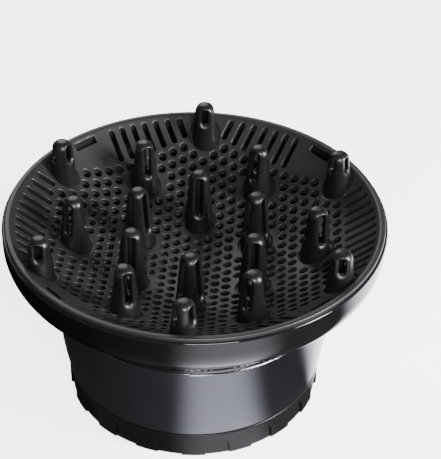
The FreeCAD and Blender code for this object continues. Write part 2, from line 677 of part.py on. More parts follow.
def grip_recesses():
    """Arch-topped thumb recesses round the lock ring, open at the bottom."""
    width = 2 * RING_RADIUS * sin(radians(RECESS_SHARE * FULL_TURN / RECESS_COUNT / 2))
    half = width / 2
    spring = RECESS_TOP - half
    edges = [line(V(0, -half, -TOOL_EXTRA), V(0, -half, spring))]
    edges.append(arc(V(0, -half, spring), V(0, 0, RECESS_TOP), V(0, half, spring)))
    edges.append(line(V(0, half, spring), V(0, half, -TOOL_EXTRA)))
    edges.append(line(V(0, half, -TOOL_EXTRA), V(0, -half, -TOOL_EXTRA)))
    arch = Part.Face(Part.Wire(edges)).extrude(V(RING_RADIUS + TOOL_EXTRA, 0, 0))
    inner = RING_RADIUS - RECESS_DEPTH
    band = ring_plate(inner, RING_RADIUS + TOOL_EXTRA, -TOOL_EXTRA, RECESS_TOP + 2 * TOOL_EXTRA)
    return around(arch.common(band), RECESS_COUNT, RECESS_PHASE)


def lock_ring():
    """Turning ring: grip wall, snap bead over the tube's lip, and a floor with cam slots."""
    lip_bore = TUBE_RADIUS + RING_GAP
    bead_bore = TUBE_STEP_RADIUS + RING_GAP
    edge = RING_EDGE_ROUND
    corners = [(rz(RING_BORE, 0), edge), (rz(RING_RADIUS, 0), edge)]
    corners += [(rz(RING_RADIUS, RING_HEIGHT), edge), (rz(lip_bore, RING_HEIGHT), 0)]
    corners += [(rz(lip_bore, BEAD_TOP), 0), (rz(bead_bore, BEAD_TOP), 0)]
    corners += [(rz(bead_bore, BEAD_BOTTOM), 0), (rz(lip_bore, BEAD_BOTTOM), 0)]
    corners += [(rz(lip_bore, RING_FLOOR), 0), (rz(RING_BORE, RING_FLOOR), edge)]
    ring = turned(rounded_outline(corners))
    slot = cam_slot()
    slot.translate(V(0, 0, -TOOL_EXTRA / 2))
    return ring.cut(grip_recesses() + around(slot, VANE_COUNT)).removeSplitter()


def blade_sector(inner, outer, start, end, bottom, top):
    """An upright curved plate round the axis, with rounded ends."""
    middle = (inner + outer) / 2
    half = (outer - inner) / 2
    between = (start + end) / 2
    edges = [arc(spot(inner, start), spot(inner, between), spot(inner, end))]
    past_end = end + degrees(half / middle)
    edges.append(arc(spot(inner, end), spot(middle, past_end), spot(outer, end)))
    edges.append(arc(spot(outer, end), spot(outer, between), spot(outer, start)))
    past_start = start - degrees(half / middle)
    edges.append(arc(spot(outer, start), spot(middle, past_start), spot(inner, start)))
    plate = raised(Part.Wire(edges), top - bottom)
    plate.translate(V(0, 0, bottom))
    return plate


def grip_vane():
    """The vane whose pivot is on +X: blade, web, pivot boss, lever and drive pin."""
    pivot = V(PIVOT_RADIUS, 0, VANE_BOTTOM)
    height = VANE_TOP - VANE_BOTTOM
    blade = blade_sector(BLADE_INNER, BLADE_OUTER, BLADE_START, BLADE_END, VANE_BOTTOM, VANE_TOP)
    boss = rod(pivot, BOSS_RADIUS, height)
    root = spot((BLADE_INNER + BLADE_OUTER) / 2, BLADE_START, VANE_BOTTOM)
    web = capsule(pivot, root, BLADE_THICKNESS / 2, height)
    drive = pivot + V(0, LEVER_LENGTH, 0)
    lever = capsule(pivot, drive, LEVER_RADIUS, LEVER_HEIGHT)
    pin_foot = V(drive.x, drive.y, DRIVE_PIN_FLOOR)
    drive_pin = rod(pin_foot, DRIVE_PIN_RADIUS, VANE_BOTTOM + LEVER_HEIGHT - DRIVE_PIN_FLOOR)
    bore = rod(V(PIVOT_RADIUS, 0, 0), PIN_RADIUS + PIN_GAP, VANE_TOP + TOOL_EXTRA)
    return blade.fuse([boss, web, lever, drive_pin]).cut(bore).removeSplitter()


def grip_pad():
    """Rubber pad on the inner face of the blade on the +X side."""
    bottom = VANE_BOTTOM + PAD_MARGIN
    return blade_sector(CLAMP_RADIUS, BLADE_INNER, PAD_START, PAD_END, bottom, VANE_TOP - PAD_MARGIN)


def pivot_pins():
    """Eight steel pins, each held in both carriers."""
    bottom = CARRIER_BOTTOM + CARRIER_GAP
    height = UPPER_CARRIER_TOP - CARRIER_GAP - bottom
    return Part.makeCompound(around(rod(V(PIVOT_RADIUS, 0, bottom), PIN_RADIUS, height), VANE_COUNT))


def screw_clearances(face_z, into):
    """Countersunk holes in a carrier; into is +1 when the heads sit in the bottom face."""
    shank = rod(V(SCREW_CIRCLE, 0, 0), SCREW_RADIUS + SCREW_GAP, RIM_HEIGHT)
    head = screw_head(SCREW_HEAD_RADIUS + SCREW_GAP, face_z, into)
    return around(shank.fuse(head), SCREW_COUNT, SCREW_ANGLE)


def screw_head(radius, face_z, into):
    narrow = radius - SCREW_HEAD_HEIGHT
    foot = V(SCREW_CIRCLE, 0, face_z)
    return Part.makeCone(radius, narrow, SCREW_HEAD_HEIGHT, foot, Z_AXIS * into)


def carrier_screws(face_z, into):
    """Four countersunk self-tapping screws as one group."""
    tip_z = face_z + into * SCREW_LENGTH
    shank = rod(V(SCREW_CIRCLE, 0, min(face_z, tip_z)), SCREW_RADIUS, SCREW_LENGTH)
    head = screw_head(SCREW_HEAD_RADIUS, face_z, into)
    socket_z = min(face_z, face_z + into * DRIVE_SOCKET_DEPTH)
    socket = rod(V(SCREW_CIRCLE, 0, socket_z), DRIVE_SOCKET_RADIUS, DRIVE_SOCKET_DEPTH)
    return Part.makeCompound(around(shank.fuse(head).cut(socket), SCREW_COUNT, SCREW_ANGLE))


def lower_carrier():
    """Fixed plate over the lock ring's floor, with windows that the drive pins swing in."""
    outer = TUBE_RADIUS - CARRIER_OUTER_INSET
    plate = ring_plate(RING_BORE, outer, CARRIER_BOTTOM, CARRIER_THICKNESS)
    reach = DRIVE_PIN_RADIUS + DRIVE_GAP
    window = blade_sector(LEVER_LENGTH - reach, LEVER_LENGTH + reach, 90.0,
                          90.0 + VANE_SWING, CARRIER_BOTTOM - TOOL_EXTRA, TUBE_BOTTOM + TOOL_EXTRA)
    window.translate(V(PIVOT_RADIUS, 0, 0))
    hole = rod(V(PIVOT_RADIUS, 0, 0), PIN_RADIUS, RIM_HEIGHT)
    tools = around(window, VANE_COUNT) + around(hole, VANE_COUNT)
    return plate.cut(tools + screw_clearances(CARRIER_BOTTOM, 1))


def upper_carrier():
    """Fixed plate that holds the upper ends of the pivot pins."""
    outer = TUBE_BORE - CARRIER_GAP
    plate = ring_plate(RING_BORE, outer, UPPER_CARRIER_BOTTOM, CARRIER_THICKNESS)
    hole = rod(V(PIVOT_RADIUS, 0, 0), PIN_RADIUS, RIM_HEIGHT)
    return plate.cut(around(hole, VANE_COUNT) + screw_clearances(UPPER_CARRIER_TOP, -1))


def save_all():
    os.makedirs("parts", exist_ok=True)
    save("face_dish", face_dish())
    save_fingers()
    save("outer_shell", outer_shell())
    save("neck_sleeve", neck_sleeve())
    save("lock_ring", lock_ring())
    save("lower_carrier", lower_carrier())
    save("upper_carrier", upper_carrier())
    save("pivot_pins", pivot_pins())
    save("lower_carrier_screws", carrier_screws(CARRIER_BOTTOM, 1))
    save("upper_carrier_screws", carrier_screws(UPPER_CARRIER_TOP, -1))
    vanes = around(grip_vane(), VANE_COUNT)
    pads = around(grip_pad(), VANE_COUNT)
    for number, (vane, pad) in enumerate(zip(vanes, pads), start=1):
        save("grip_vane_%d" % number, vane)
        save("grip_pad_%d" % number, pad)


save_all()
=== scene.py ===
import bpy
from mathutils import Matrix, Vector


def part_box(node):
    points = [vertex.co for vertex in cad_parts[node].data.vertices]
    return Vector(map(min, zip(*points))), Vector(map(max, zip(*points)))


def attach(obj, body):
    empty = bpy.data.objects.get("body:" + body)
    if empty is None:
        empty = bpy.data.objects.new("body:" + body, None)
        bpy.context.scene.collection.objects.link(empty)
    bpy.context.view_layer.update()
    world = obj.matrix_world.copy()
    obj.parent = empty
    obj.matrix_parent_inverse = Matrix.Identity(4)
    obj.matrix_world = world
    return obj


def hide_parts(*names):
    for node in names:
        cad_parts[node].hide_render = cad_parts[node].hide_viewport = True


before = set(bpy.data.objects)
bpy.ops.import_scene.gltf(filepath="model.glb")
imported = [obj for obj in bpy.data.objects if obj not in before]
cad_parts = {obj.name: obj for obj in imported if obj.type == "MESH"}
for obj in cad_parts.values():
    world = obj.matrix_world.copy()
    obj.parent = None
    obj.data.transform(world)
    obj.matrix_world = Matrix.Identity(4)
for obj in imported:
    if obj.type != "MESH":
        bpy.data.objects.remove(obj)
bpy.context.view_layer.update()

from math import asin, atan2, cos, degrees, hypot, pi, radians, sin, sqrt, tan

import bmesh
import bpy
from mathutils import Matrix, Vector

MM = 0.001

# %% [markdown]
# ## The camera
# The diffuser is seen from the front and above, so that the eye looks into the dish. A long lens
# a little over half a metre away keeps the far side of the rim almost as large as the near side.
# The camera could be aimed with a constraint, but its three axes are worked out here, because
# then its small roll and its small step to the side are plain numbers.
# %% The camera
RIM_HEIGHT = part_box("face_dish")[1].z
CAMERA_DISTANCE = 618.2 * MM
CAMERA_ELEVATION = radians(37.01)
CAMERA_TURN = radians(2.0)
CAMERA_ROLL = radians(1.26)
CAMERA_RIGHT = 10.6 * MM
CAMERA_DOWN = 6.7 * MM
LENS = 115.3

back = Vector((0, -cos(CAMERA_ELEVATION), sin(CAMERA_ELEVATION)))
level = Vector((1, 0, 0))
lift = back.cross(level)
right = level * cos(CAMERA_ROLL) + lift * sin(CAMERA_ROLL)
up = lift * cos(CAMERA_ROLL) - level * sin(CAMERA_ROLL)
stand = back * CAMERA_DISTANCE + right * CAMERA_RIGHT - up * CAMERA_DOWN
axes = Matrix((right, up, back)).transposed().to_4x4()


def linked(name, data):
    """A new object in the scene."""
    made = bpy.data.objects.new(name, data)
    bpy.context.scene.collection.objects.link(made)
    return made


camera = linked("camera", bpy.data.cameras.new("camera"))
camera.data.lens = LENS
camera.matrix_world = (Matrix.Rotation(CAMERA_TURN, 4, "Z")
                       @ Matrix.Translation(stand + Vector((0, 0, RIM_HEIGHT))) @ axes)
bpy.context.scene.camera = camera
print("camera stands at", [round(v, 3) for v in camera.matrix_world.translation], "m")

# %% [markdown]
# ## Writing nodes as Python
# Materials and Geometry Nodes are both trees of nodes. Adding and linking each node by hand is
# long and hard to read, so a small class holds one socket and lends it the usual operators: a sum
# of two signals adds a Math node. Every other node comes from one method.
# %% Signals and graphs
class Signal:
    """A socket that can be added, multiplied and subtracted like a number."""

    def __init__(self, graph, socket):
        self.graph = graph
        self.socket = socket

    def math(self, operation, *values):
        inputs = dict(enumerate(values))
        return self.graph.node("ShaderNodeMath", {"operation": operation}, inputs)

    def __add__(self, other):
        return self.math("ADD", self, other)

    def __sub__(self, other):
        return self.math("SUBTRACT", self, other)

    def __rsub__(self, other):
        return self.math("SUBTRACT", other, self)

    def __mul__(self, other):
        return self.math("MULTIPLY", self, other)

    def __truediv__(self, other):
        return self.math("DIVIDE", self, other)

    def __rtruediv__(self, other):
        return self.math("DIVIDE", other, self)

    __radd__ = __add__
    __rmul__ = __mul__

    def named(self, operation):
        """One-value functions such as FLOOR, ABSOLUTE, SINE or SQRT."""
        return self.math(operation, self)

    def over(self, limit):
        """1 where the signal is greater than the limit, else 0."""
        return self.math("GREATER_THAN", self, limit)

    def smooth(self, low, high):
        """Rises softly from 0 to 1 between two values."""
        settings = {"interpolation_type": "SMOOTHSTEP"}
        inputs = {"Value": self, "From Min": low, "From Max": high}
        return self.graph.node("ShaderNodeMapRange", settings, inputs)


class Graph:
    """A node tree, of a material or of geometry, written down node by node."""

    def __init__(self, tree):
        self.tree = tree

    def node(self, kind, settings=None, inputs=None, output=0):
        made = self.tree.nodes.new(kind)
        for setting, value in (settings or {}).items():
            setattr(made, setting, value)
        for place, value in (inputs or {}).items():
            for one in value if isinstance(value, list) else [value]:
                if isinstance(one, Signal):
                    self.tree.links.new(one.socket, made.inputs[place])
                else:
                    made.inputs[place].default_value = one
        return Signal(self, made.outputs[output])

    def parts(self, vector):
        """The three numbers of a vector."""
        first = self.node("ShaderNodeSeparateXYZ", inputs={0: vector})
        return [Signal(self, socket) for socket in first.socket.node.outputs]

    def vector(self, x, y, z):
        return self.node("ShaderNodeCombineXYZ", inputs={0: x, 1: y, 2: z})


print("signals and graphs are ready")

# %% [markdown]
# ## Finishes
# Almost every part of the diffuser is black or charcoal, so the parts are told apart by their
# sheen: a fine-grained dish, smoother fingers, a mirror-like shell, a satin sleeve. A finish here
# is a Principled shader with constants on its own sockets and a few signals for what changes over
# the surface. All patterns read Object coordinates, so that they stay on the part as it moves.
# %% What every finish shares
def new_material(name):
    made = bpy.data.materials.new(name)
    made.use_nodes = True
    return made


class Finish(Graph):
    """A material under construction."""

    def __init__(self, name, colour, roughness, **constants):
        self.material = new_material(name + "_finish")
        super().__init__(self.material.node_tree)
        self.shader = self.tree.nodes["Principled BSDF"]
        self.place = self.node("ShaderNodeTexCoord", output="Object")
        self.colour = colour
        self.feed("Base Color", (*colour, 1))
        self.feed("Roughness", roughness)
        for socket, value in constants.items():
            self.feed(socket.replace("_", " "), value)

    def feed(self, socket, value):
        if isinstance(value, Signal):
            self.tree.links.new(value.socket, self.shader.inputs[socket])
        else:
            self.shader.inputs[socket].default_value = value

    def grain(self, size, detail=3.0, stretch=(1, 1, 1)):
        """Noise from 0 to 1 whose blobs are about this many millimetres wide."""
        place = self.node("ShaderNodeMapping", inputs={"Vector": self.place, "Scale": stretch})
        inputs = {"Vector": place, "Scale": 1 / (size * MM), "Detail": detail}
        return self.node("ShaderNodeTexNoise", inputs=inputs)

    def tint(self, other, share):
        """The base colour turns towards another colour by a signal."""
        inputs = {0: share, 6: (*self.colour, 1), 7: (*other, 1)}
        settings = {"data_type": "RGBA"}
        self.feed("Base Color", self.node("ShaderNodeMix", settings, inputs, output=2))

    def bump(self, height, depth):
        """Surface relief: depth is in millimetres for a height signal from 0 to 1."""
        inputs = {"Height": height, "Distance": depth * MM, "Strength": 1.0}
        self.feed("Normal", self.node("ShaderNodeBump", inputs=inputs))


def moulded(name, colour, lighter, roughness, spread, grain_size, grain_depth, **constants):
    """Moulded plastic: an even grain, and a slow change in tone and sheen."""
    finish = Finish(name, colour, roughness, **constants)
    fine = finish.grain(grain_size)
    slow = finish.grain(28.0, detail=2.0)
    finish.tint(lighter, slow.smooth(0.35, 0.75))
    finish.feed("Roughness", roughness + (slow - 0.5) * spread + (fine - 0.5) * spread * 0.6)
    finish.bump(fine, grain_depth)
    return finish


print("finish helpers are ready")

# %% [markdown]
# ### The dish and the fingers
# The dish has the fine spark texture of a mould, which scatters light and looks charcoal. The
# fingers are darker and smoother, and their tips are rubbed smoother still by hair, so their
# roughness falls towards the top.
# %% Dish and finger plastics
dish_charcoal = moulded("dish_charcoal", (0.012, 0.012, 0.0135), (0.017, 0.017, 0.019),
                        0.40, 0.10, 0.42, 0.030)
finger_black = moulded("finger_black", (0.0055, 0.0058, 0.0065), (0.0080, 0.0083, 0.0092),
                       0.34, 0.08, 0.30, 0.008)
finger_height = finger_black.parts(finger_black.place)[2]
rubbed = finger_height.smooth(78 * MM, 96 * MM)
finger_grain = finger_black.grain(6.0)
finger_black.feed("Roughness", 0.37 + (finger_grain - 0.5) * 0.10 - rubbed * 0.05)
print("dish and finger plastics are made")

# %% [markdown]
# ### Shell and sleeve
# The shell is polished so far that it mirrors its surroundings. Real gloss plastic is never quite
# flat, so a very shallow, wide ripple bends the reflections, and a faint haze of fingerprints
# changes the roughness. The sleeve has a dark metallic finish, with a flake so fine that it only
# softens the light.
# %% Shell and sleeve finishes
shell_gloss_black = Finish("shell_gloss_black", (0.006, 0.006, 0.0068), 0.06, IOR=1.42,
                           Coat_Roughness=0.03)
haze = shell_gloss_black.grain(17.0, detail=4.0)
smear = shell_gloss_black.grain(3.0, stretch=(1, 1, 0.3))
shell_gloss_black.tint((0.009, 0.009, 0.010), haze.smooth(0.4, 0.8))
shell_gloss_black.feed("Roughness", 0.05 + haze.smooth(0.45, 0.8) * smear * 0.05)
shell_gloss_black.feed("Coat Weight", 0.2)
shell_gloss_black.bump(shell_gloss_black.grain(11.0, detail=1.0), 0.015)

sleeve_satin_graphite = Finish("sleeve_satin_graphite", (0.110, 0.111, 0.127), 0.22,
                               Metallic=1.0)
flake = sleeve_satin_graphite.grain(0.12, detail=1.0)
cloud = sleeve_satin_graphite.grain(14.0, detail=2.0)
sleeve_satin_graphite.tint((0.140, 0.141, 0.161), flake * 0.6 + cloud * 0.3)
sleeve_satin_graphite.feed("Roughness", 0.19 + flake * 0.04 + (cloud - 0.5) * 0.04)
sleeve_satin_graphite.bump(flake, 0.004)
print("shell and sleeve finishes are made")

# %% [markdown]
# ### Lock ring, clamp and fixings
# The ring is handled, so it has a matt grain to grip by. The parts inside are plain black
# mouldings, the pads are soft rubber with a dusty sheen, and the pins and screws are steel with
# the fine rings that turning leaves.
# %% Ring, clamp and steel finishes
ring_black = moulded("ring_black", (0.0070, 0.0070, 0.0076), (0.0105, 0.0105, 0.0114),
                     0.27, 0.10, 0.36, 0.014, IOR=1.34)
inner_black = moulded("inner_black", (0.012, 0.012, 0.013), (0.017, 0.017, 0.018),
                      0.45, 0.12, 0.50, 0.030)
vane_black = moulded("vane_black", (0.015, 0.015, 0.016), (0.021, 0.021, 0.022),
                     0.38, 0.10, 0.40, 0.020)
pad_rubber = moulded("pad_rubber", (0.020, 0.020, 0.021), (0.030, 0.030, 0.032),
                     0.72, 0.12, 0.25, 0.050, Sheen_Weight=0.25)


def steel(name, colour, roughness, ring_size):
    """Turned steel: fine grooves in steps of height, and a soft change in brightness."""
    finish = Finish(name, colour, roughness, Metallic=1.0)
    grooves = finish.grain(ring_size, stretch=(0.15, 0.15, 1))
    slow = finish.grain(4.0)
    finish.tint(tuple(v * 0.75 for v in colour), slow)
    finish.feed("Roughness", roughness + (grooves - 0.5) * 0.16)
    finish.bump(grooves, 0.006)
    return finish


pin_steel = steel("pin_steel", (0.56, 0.57, 0.58), 0.26, 0.12)
screw_steel = steel("screw_steel", (0.44, 0.45, 0.47), 0.34, 0.16)
names = [one.name for one in bpy.data.materials if one.name.endswith("_finish")]
print("finishes:", ", ".join(names))

# %% [markdown]
# ## Turned shapes and plain meshes
# Most parts are round. Blender has a Screw modifier and a Spin tool for this, but a few lines of
# bmesh that join rings of points also close the poles, and keep every face where it is wanted.
# %% Turning an outline
def circle_arc(centre, radius, first, last, steps):
    """Points along an arc in the (radius, height) plane, angles in degrees from outwards."""
    turns = [radians(first + (last - first) * step / steps) for step in range(steps + 1)]
    return [(centre[0] + radius * cos(turn), centre[1] + radius * sin(turn)) for turn in turns]


def rounded(corners, steps=5):
    """A closed outline through (radius, height, rounding) corners."""
    points = []
    for index, (x, y, rounding) in enumerate(corners):
        corner = Vector((x, y))
        before = (Vector(corners[index - 1][:2]) - corner).normalized()
        after = (Vector(corners[(index + 1) % len(corners)][:2]) - corner).normalized()
        if rounding == 0:
            points.append((x, y))
            continue
        half = before.angle(after) / 2
        centre = corner + (before + after).normalized() * (rounding / sin(half))
        start = corner + before * (rounding / tan(half)) - centre
        turn = start.angle_signed(corner + after * (rounding / tan(half)) - centre)
        for step in range(steps + 1):
            spoke = start.copy()
            spoke.rotate(Matrix.Rotation(-turn * step / steps, 2))
            points.append(tuple(centre + spoke))
    return points


def joined(shape, ring, following):
    """Faces between two closed rings of vertices; a ring of one vertex is a pole."""
    count = max(len(ring), len(following))
    for index in range(count):
        after = (index + 1) % count
        corners = [ring[index % len(ring)], ring[after % len(ring)]]
        corners += [following[after % len(following)], following[index % len(following)]]
        unique = list(dict.fromkeys(corners))
        if len(unique) > 2:
            shape.faces.new(unique)


def as_object(name, shape):
    """Closes a bmesh into an object whose faces point outwards."""
    bmesh.ops.recalc_face_normals(shape, faces=shape.faces)
    mesh = bpy.data.meshes.new(name)
    shape.to_mesh(mesh)
    shape.free()
    return linked(name, mesh)


def turned(name, outline, segments):
    """A closed shape turned round the upright axis from (radius, height) points in mm."""
    shape = bmesh.new()
    rings = []
    for radius, height in outline:
        turns = [2 * pi * index / segments for index in range(segments)]
        if radius < 1e-6:
            rings.append([shape.verts.new((0, 0, height * MM))])
        else:
            rings.append([shape.verts.new((radius * cos(turn) * MM, radius * sin(turn) * MM,
                                           height * MM)) for turn in turns])
    for ring, following in zip(rings, rings[1:] + rings[:1]):
        joined(shape, ring, following)
    return as_object(name, shape)


print("turning helpers are ready")

# %% [markdown]
# ## Geometry Nodes as a workshop
# Holes, slots, fingers and grip recesses repeat by rule, so node trees place them. A tree gets
# its sizes through named inputs, and its result is turned into a plain mesh at once, because the
# exported model has no node trees.
# %% Trees and what grows from them
def geometry_tree(title, inputs):
    """A geometry node tree with named inputs, and the signals of those inputs."""
    graph = Graph(bpy.data.node_groups.new(title, "GeometryNodeTree"))
    face = graph.tree.interface
    graph.identifiers = {
        name: face.new_socket(name, in_out="INPUT", socket_type="NodeSocket" + kind).identifier
        for name, kind in inputs.items()}
    face.new_socket("Mesh", in_out="OUTPUT", socket_type="NodeSocketGeometry")
    source = graph.tree.nodes.new("NodeGroupInput")
    signals = [Signal(graph, source.outputs[name]) for name in inputs]
    return graph, signals


def made_real(graph, geometry):
    return graph.node("GeometryNodeRealizeInstances", inputs={"Geometry": geometry})


def close_tree(graph, geometry, material):
    """The end of every tree: instances made real, and the finish set."""
    inputs = {"Geometry": made_real(graph, geometry), "Material": material}
    painted = graph.node("GeometryNodeSetMaterial", inputs=inputs)
    end = graph.tree.nodes.new("NodeGroupOutput")
    graph.tree.links.new(painted.socket, end.inputs[0])


def frozen(made):
    """Replaces an object's mesh by its evaluated one, and removes its modifiers."""
    bpy.context.view_layer.update()
    evaluated = made.evaluated_get(bpy.context.evaluated_depsgraph_get())
    mesh = bpy.data.meshes.new_from_object(evaluated)
    made.modifiers.clear()
    made.data = mesh
    return made


def grown(name, graph, **values):
    """A new object made by a geometry node tree."""
    made = linked(name, bpy.data.meshes.new(name))
    modifier = made.modifiers.new("grow", "NODES")
    modifier.node_group = graph.tree
    for title, value in values.items():
        modifier[graph.identifiers[title.replace("_", " ")]] = value
    return frozen(made)


def geometry_of(graph, made):
    return graph.node("GeometryNodeObjectInfo", inputs={"Object": made}, output="Geometry")


def boolean(graph, operation, inputs):
    settings = {"operation": operation, "solver": "MANIFOLD"}
    return graph.node("GeometryNodeMeshBoolean", settings, inputs)


def cut(graph, blank, tools):
    """Takes the tools away from the blank."""
    return boolean(graph, "DIFFERENCE", {"Mesh 1": blank, "Mesh 2": tools})


def softened(made, angle=38.0):
    """Smooth shading, with the large faces deciding how their edges are lit."""
    made.data.shade_smooth()
    made.data.set_sharp_from_angle(angle=radians(angle))
    weigh = made.modifiers.new("weigh", "WEIGHTED_NORMAL")
    weigh.keep_sharp = True
    frozen(made)
    made.data.update()
    faces = sum(len(face.vertices) - 2 for face in made.data.polygons)
    print(made.name, "has", faces, "triangles")
    return made


def settle(made, body, replaced, helpers=()):
    """The last steps of a piece: it rides on its body and stands for its CAD nodes."""
    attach(made, body)
    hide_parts(*replaced)
    for helper in helpers:
        bpy.data.objects.remove(helper)


print("node helpers are ready")

# %% [markdown]
# ## The dish, first as a blank
# The dish is a shallow bowl cut from a sphere. Its edge rounds over into a narrow flat band, and
# a skirt under the flange sits inside the shell. It is turned from one outline.
# %% Dish blank
RIM_RADIUS = 80.0
RIM = RIM_HEIGHT / MM
DISH_DEPTH = 29.6
DISH_WALL = 2.2
BAND_WIDTH = 2.3
BAND_ROUND = 1.8
FLANGE_THICKNESS = 1.6
EDGE_ROUND = 0.7
SKIRT_OUTER = 78.75
SKIRT_INNER = 76.95
SKIRT_FOOT = RIM - 6.0
BOWL_RADIUS = RIM_RADIUS - BAND_WIDTH
SPHERE_RADIUS = (BOWL_RADIUS ** 2 + DISH_DEPTH ** 2) / (2 * DISH_DEPTH)
SPHERE_CENTRE = RIM - DISH_DEPTH + SPHERE_RADIUS


def sphere_z(radius, sphere=SPHERE_RADIUS):
    """Height of the dish's surface, or of a sphere below it, at a radius."""
    return SPHERE_CENTRE - sqrt(sphere ** 2 - radius ** 2)


def dish_outline():
    under = SPHERE_RADIUS + DISH_WALL
    round_z = RIM - BAND_ROUND
    meet = asin(sqrt((SPHERE_RADIUS + BAND_ROUND) ** 2 - (SPHERE_CENTRE - round_z) ** 2)
                / (SPHERE_RADIUS + BAND_ROUND))
    round_radius = (SPHERE_RADIUS + BAND_ROUND) * sin(meet)
    centre = (0, SPHERE_CENTRE)
    bowl = circle_arc(centre, SPHERE_RADIUS, -90, -90 + degrees(meet), 34)
    band = circle_arc((round_radius, round_z), BAND_ROUND, 90 + degrees(meet), 90, 6)
    edge_centre = (RIM_RADIUS - EDGE_ROUND, RIM - EDGE_ROUND)
    edge = circle_arc(edge_centre, EDGE_ROUND, 90, 0, 4)
    flange = RIM - FLANGE_THICKNESS
    skirt = [(RIM_RADIUS, flange), (SKIRT_OUTER, flange), (SKIRT_OUTER, SKIRT_FOOT)]
    skirt.append((SKIRT_INNER, SKIRT_FOOT))
    last = degrees(asin(SKIRT_INNER / under))
    below = circle_arc(centre, under, -90 + last, -90, 34)
    bowl[0] = (0, bowl[0][1])
    below[-1] = (0, below[-1][1])
    return bowl + band[1:] + edge + skirt + below


dish_blank = turned("dish_blank", dish_outline(), 216)
print("dish blank:", len(dish_blank.data.polygons), "faces; middle at",
      round(sphere_z(0), 2), "mm")

# %% [markdown]
# ## Cutting tools for the dish
# Moulded holes have no sharp edges: a small round runs along each. Beveling hundreds of cut edges
# is slow and fails easily, so the round is put on the tool instead. Each tool is a plug lofted
# through copies of a flat outline, and its upper rows flare out to the surface.
# %% Plugs
def lip_rows(lip, down, up, steps=3):
    """Rows of (widening, height) for a tool that leaves a rounded edge at height 0."""
    rows = [(0, -down)]
    for step in range(steps + 1):
        turn = radians(90 * step / steps)
        rows.append((lip * (1 - cos(turn)), -lip * (1 - sin(turn))))
    return rows + [(lip, up)]


def round_section(radius, count):
    """A function that gives a circle, widened."""
    def points(widening):
        reach = radius + widening
        turns = [2 * pi * (index + 0.5) / count for index in range(count)]
        return [(reach * cos(turn), reach * sin(turn)) for turn in turns]
    return points


def box_section(length, width, rounding):
    """A function that gives a rectangle with rounded corners, widened."""
    def points(widening):
        x = length / 2 + widening
        y = width / 2 + widening
        corner = rounding + widening
        return rounded([(x, y, corner), (-x, y, corner), (-x, -y, corner), (x, -y, corner)], 4)
    return points


def split_section(radius, half_count):
    """A circle in two halves that meet on the y axis, so that one half can be drawn away."""
    def points(widening):
        reach = radius + widening
        turns = [pi * index / half_count for index in range(half_count + 1)]
        near = [(-reach * sin(turn), reach * cos(turn)) for turn in turns]
        return near + [(-x, -y) for x, y in near]
    return points


def plug(name, section, rows):
    """A closed tool through widened copies of a section, one for each row."""
    shape = bmesh.new()
    rings = [[shape.verts.new((x * MM, y * MM, height * MM)) for x, y in section(widening)]
             for widening, height in rows]
    for ring, following in zip(rings, rings[1:]):
        joined(shape, ring, following)
    shape.faces.new(rings[0])
    shape.faces.new(rings[-1])
    return as_object(name, shape)


HOLE_PITCH = 5.36
HOLE_RADIUS = 1.8
SLOT_HALF = 1.25
hole_plug = plug("hole_plug", round_section(HOLE_RADIUS, 16), lip_rows(0.32, 6, 3))
slot_plug = plug("slot_plug", split_section(SLOT_HALF, 8), lip_rows(0.30, 9, 3))
window_plug = plug("window_plug", box_section(2.6, 11.3, 0.3), lip_rows(0.25, 5, 6))
far = slot_plug.data.attributes.new("far", "FLOAT", "POINT")
for index, item in enumerate(far.data):
    item.value = 1.0 if index % 18 >= 9 else 0.0
print("one hole plug has", len(hole_plug.data.polygons), "faces")

# %% [markdown]
# ## Air holes
# The holes stand on a triangular lattice, inside a hexagon, and keep clear of the fingers'
# seats. A grid gives the points, every other column is shifted by half a pitch, and points too
# near a finger are deleted. The tools are then moved down onto the sphere point by point, so that
# their flared rims follow its slope.
# %% Air-hole tree
INNER_RING = 29.5
MIDDLE_RING = 51.4
OUTER_RING = 70.0
BASE_RADIUS = 6.6
OUTER_BASE_RADIUS = 6.1
SEAT_GAP = 0.5
LAND = 0.3
SLOT_START = 63.4
SLOT_END = 76.1


def laid_on_dish(graph, geometry):
    """Moves every point down, or up, to the dish's surface under it."""
    real = made_real(graph, geometry)
    x, y, _ = graph.parts(graph.node("GeometryNodeInputPosition"))
    drop = ((SPHERE_RADIUS * MM) ** 2 - x * x - y * y).named("SQRT")
    offset = graph.vector(0.0, 0.0, SPHERE_CENTRE * MM - drop)
    return graph.node("GeometryNodeSetPosition", inputs={"Geometry": real, "Offset": offset})


def on_spot(graph, count):
    """Points that all stand on the axis, for tools that only turn."""
    inputs = {"Count": count, "Offset": (0, 0, 0)}
    return graph.node("GeometryNodeMeshLine", inputs=inputs)


def circle_points(graph, radius, turn, count=6):
    """Points on a circle; six of them are the finger axes of a ring."""
    circle = graph.node("GeometryNodeMeshCircle", inputs={"Vertices": count, "Radius": radius})
    inputs = {"Geometry": circle, "Rotation": (0, 0, radians(turn))}
    return graph.node("GeometryNodeTransform", inputs=inputs)


def distance_to(graph, points, place):
    settings = {"target_element": "POINTS"}
    inputs = {0: points, "Sample Position": place}
    return graph.node("GeometryNodeProximity", settings, inputs, output="Distance")


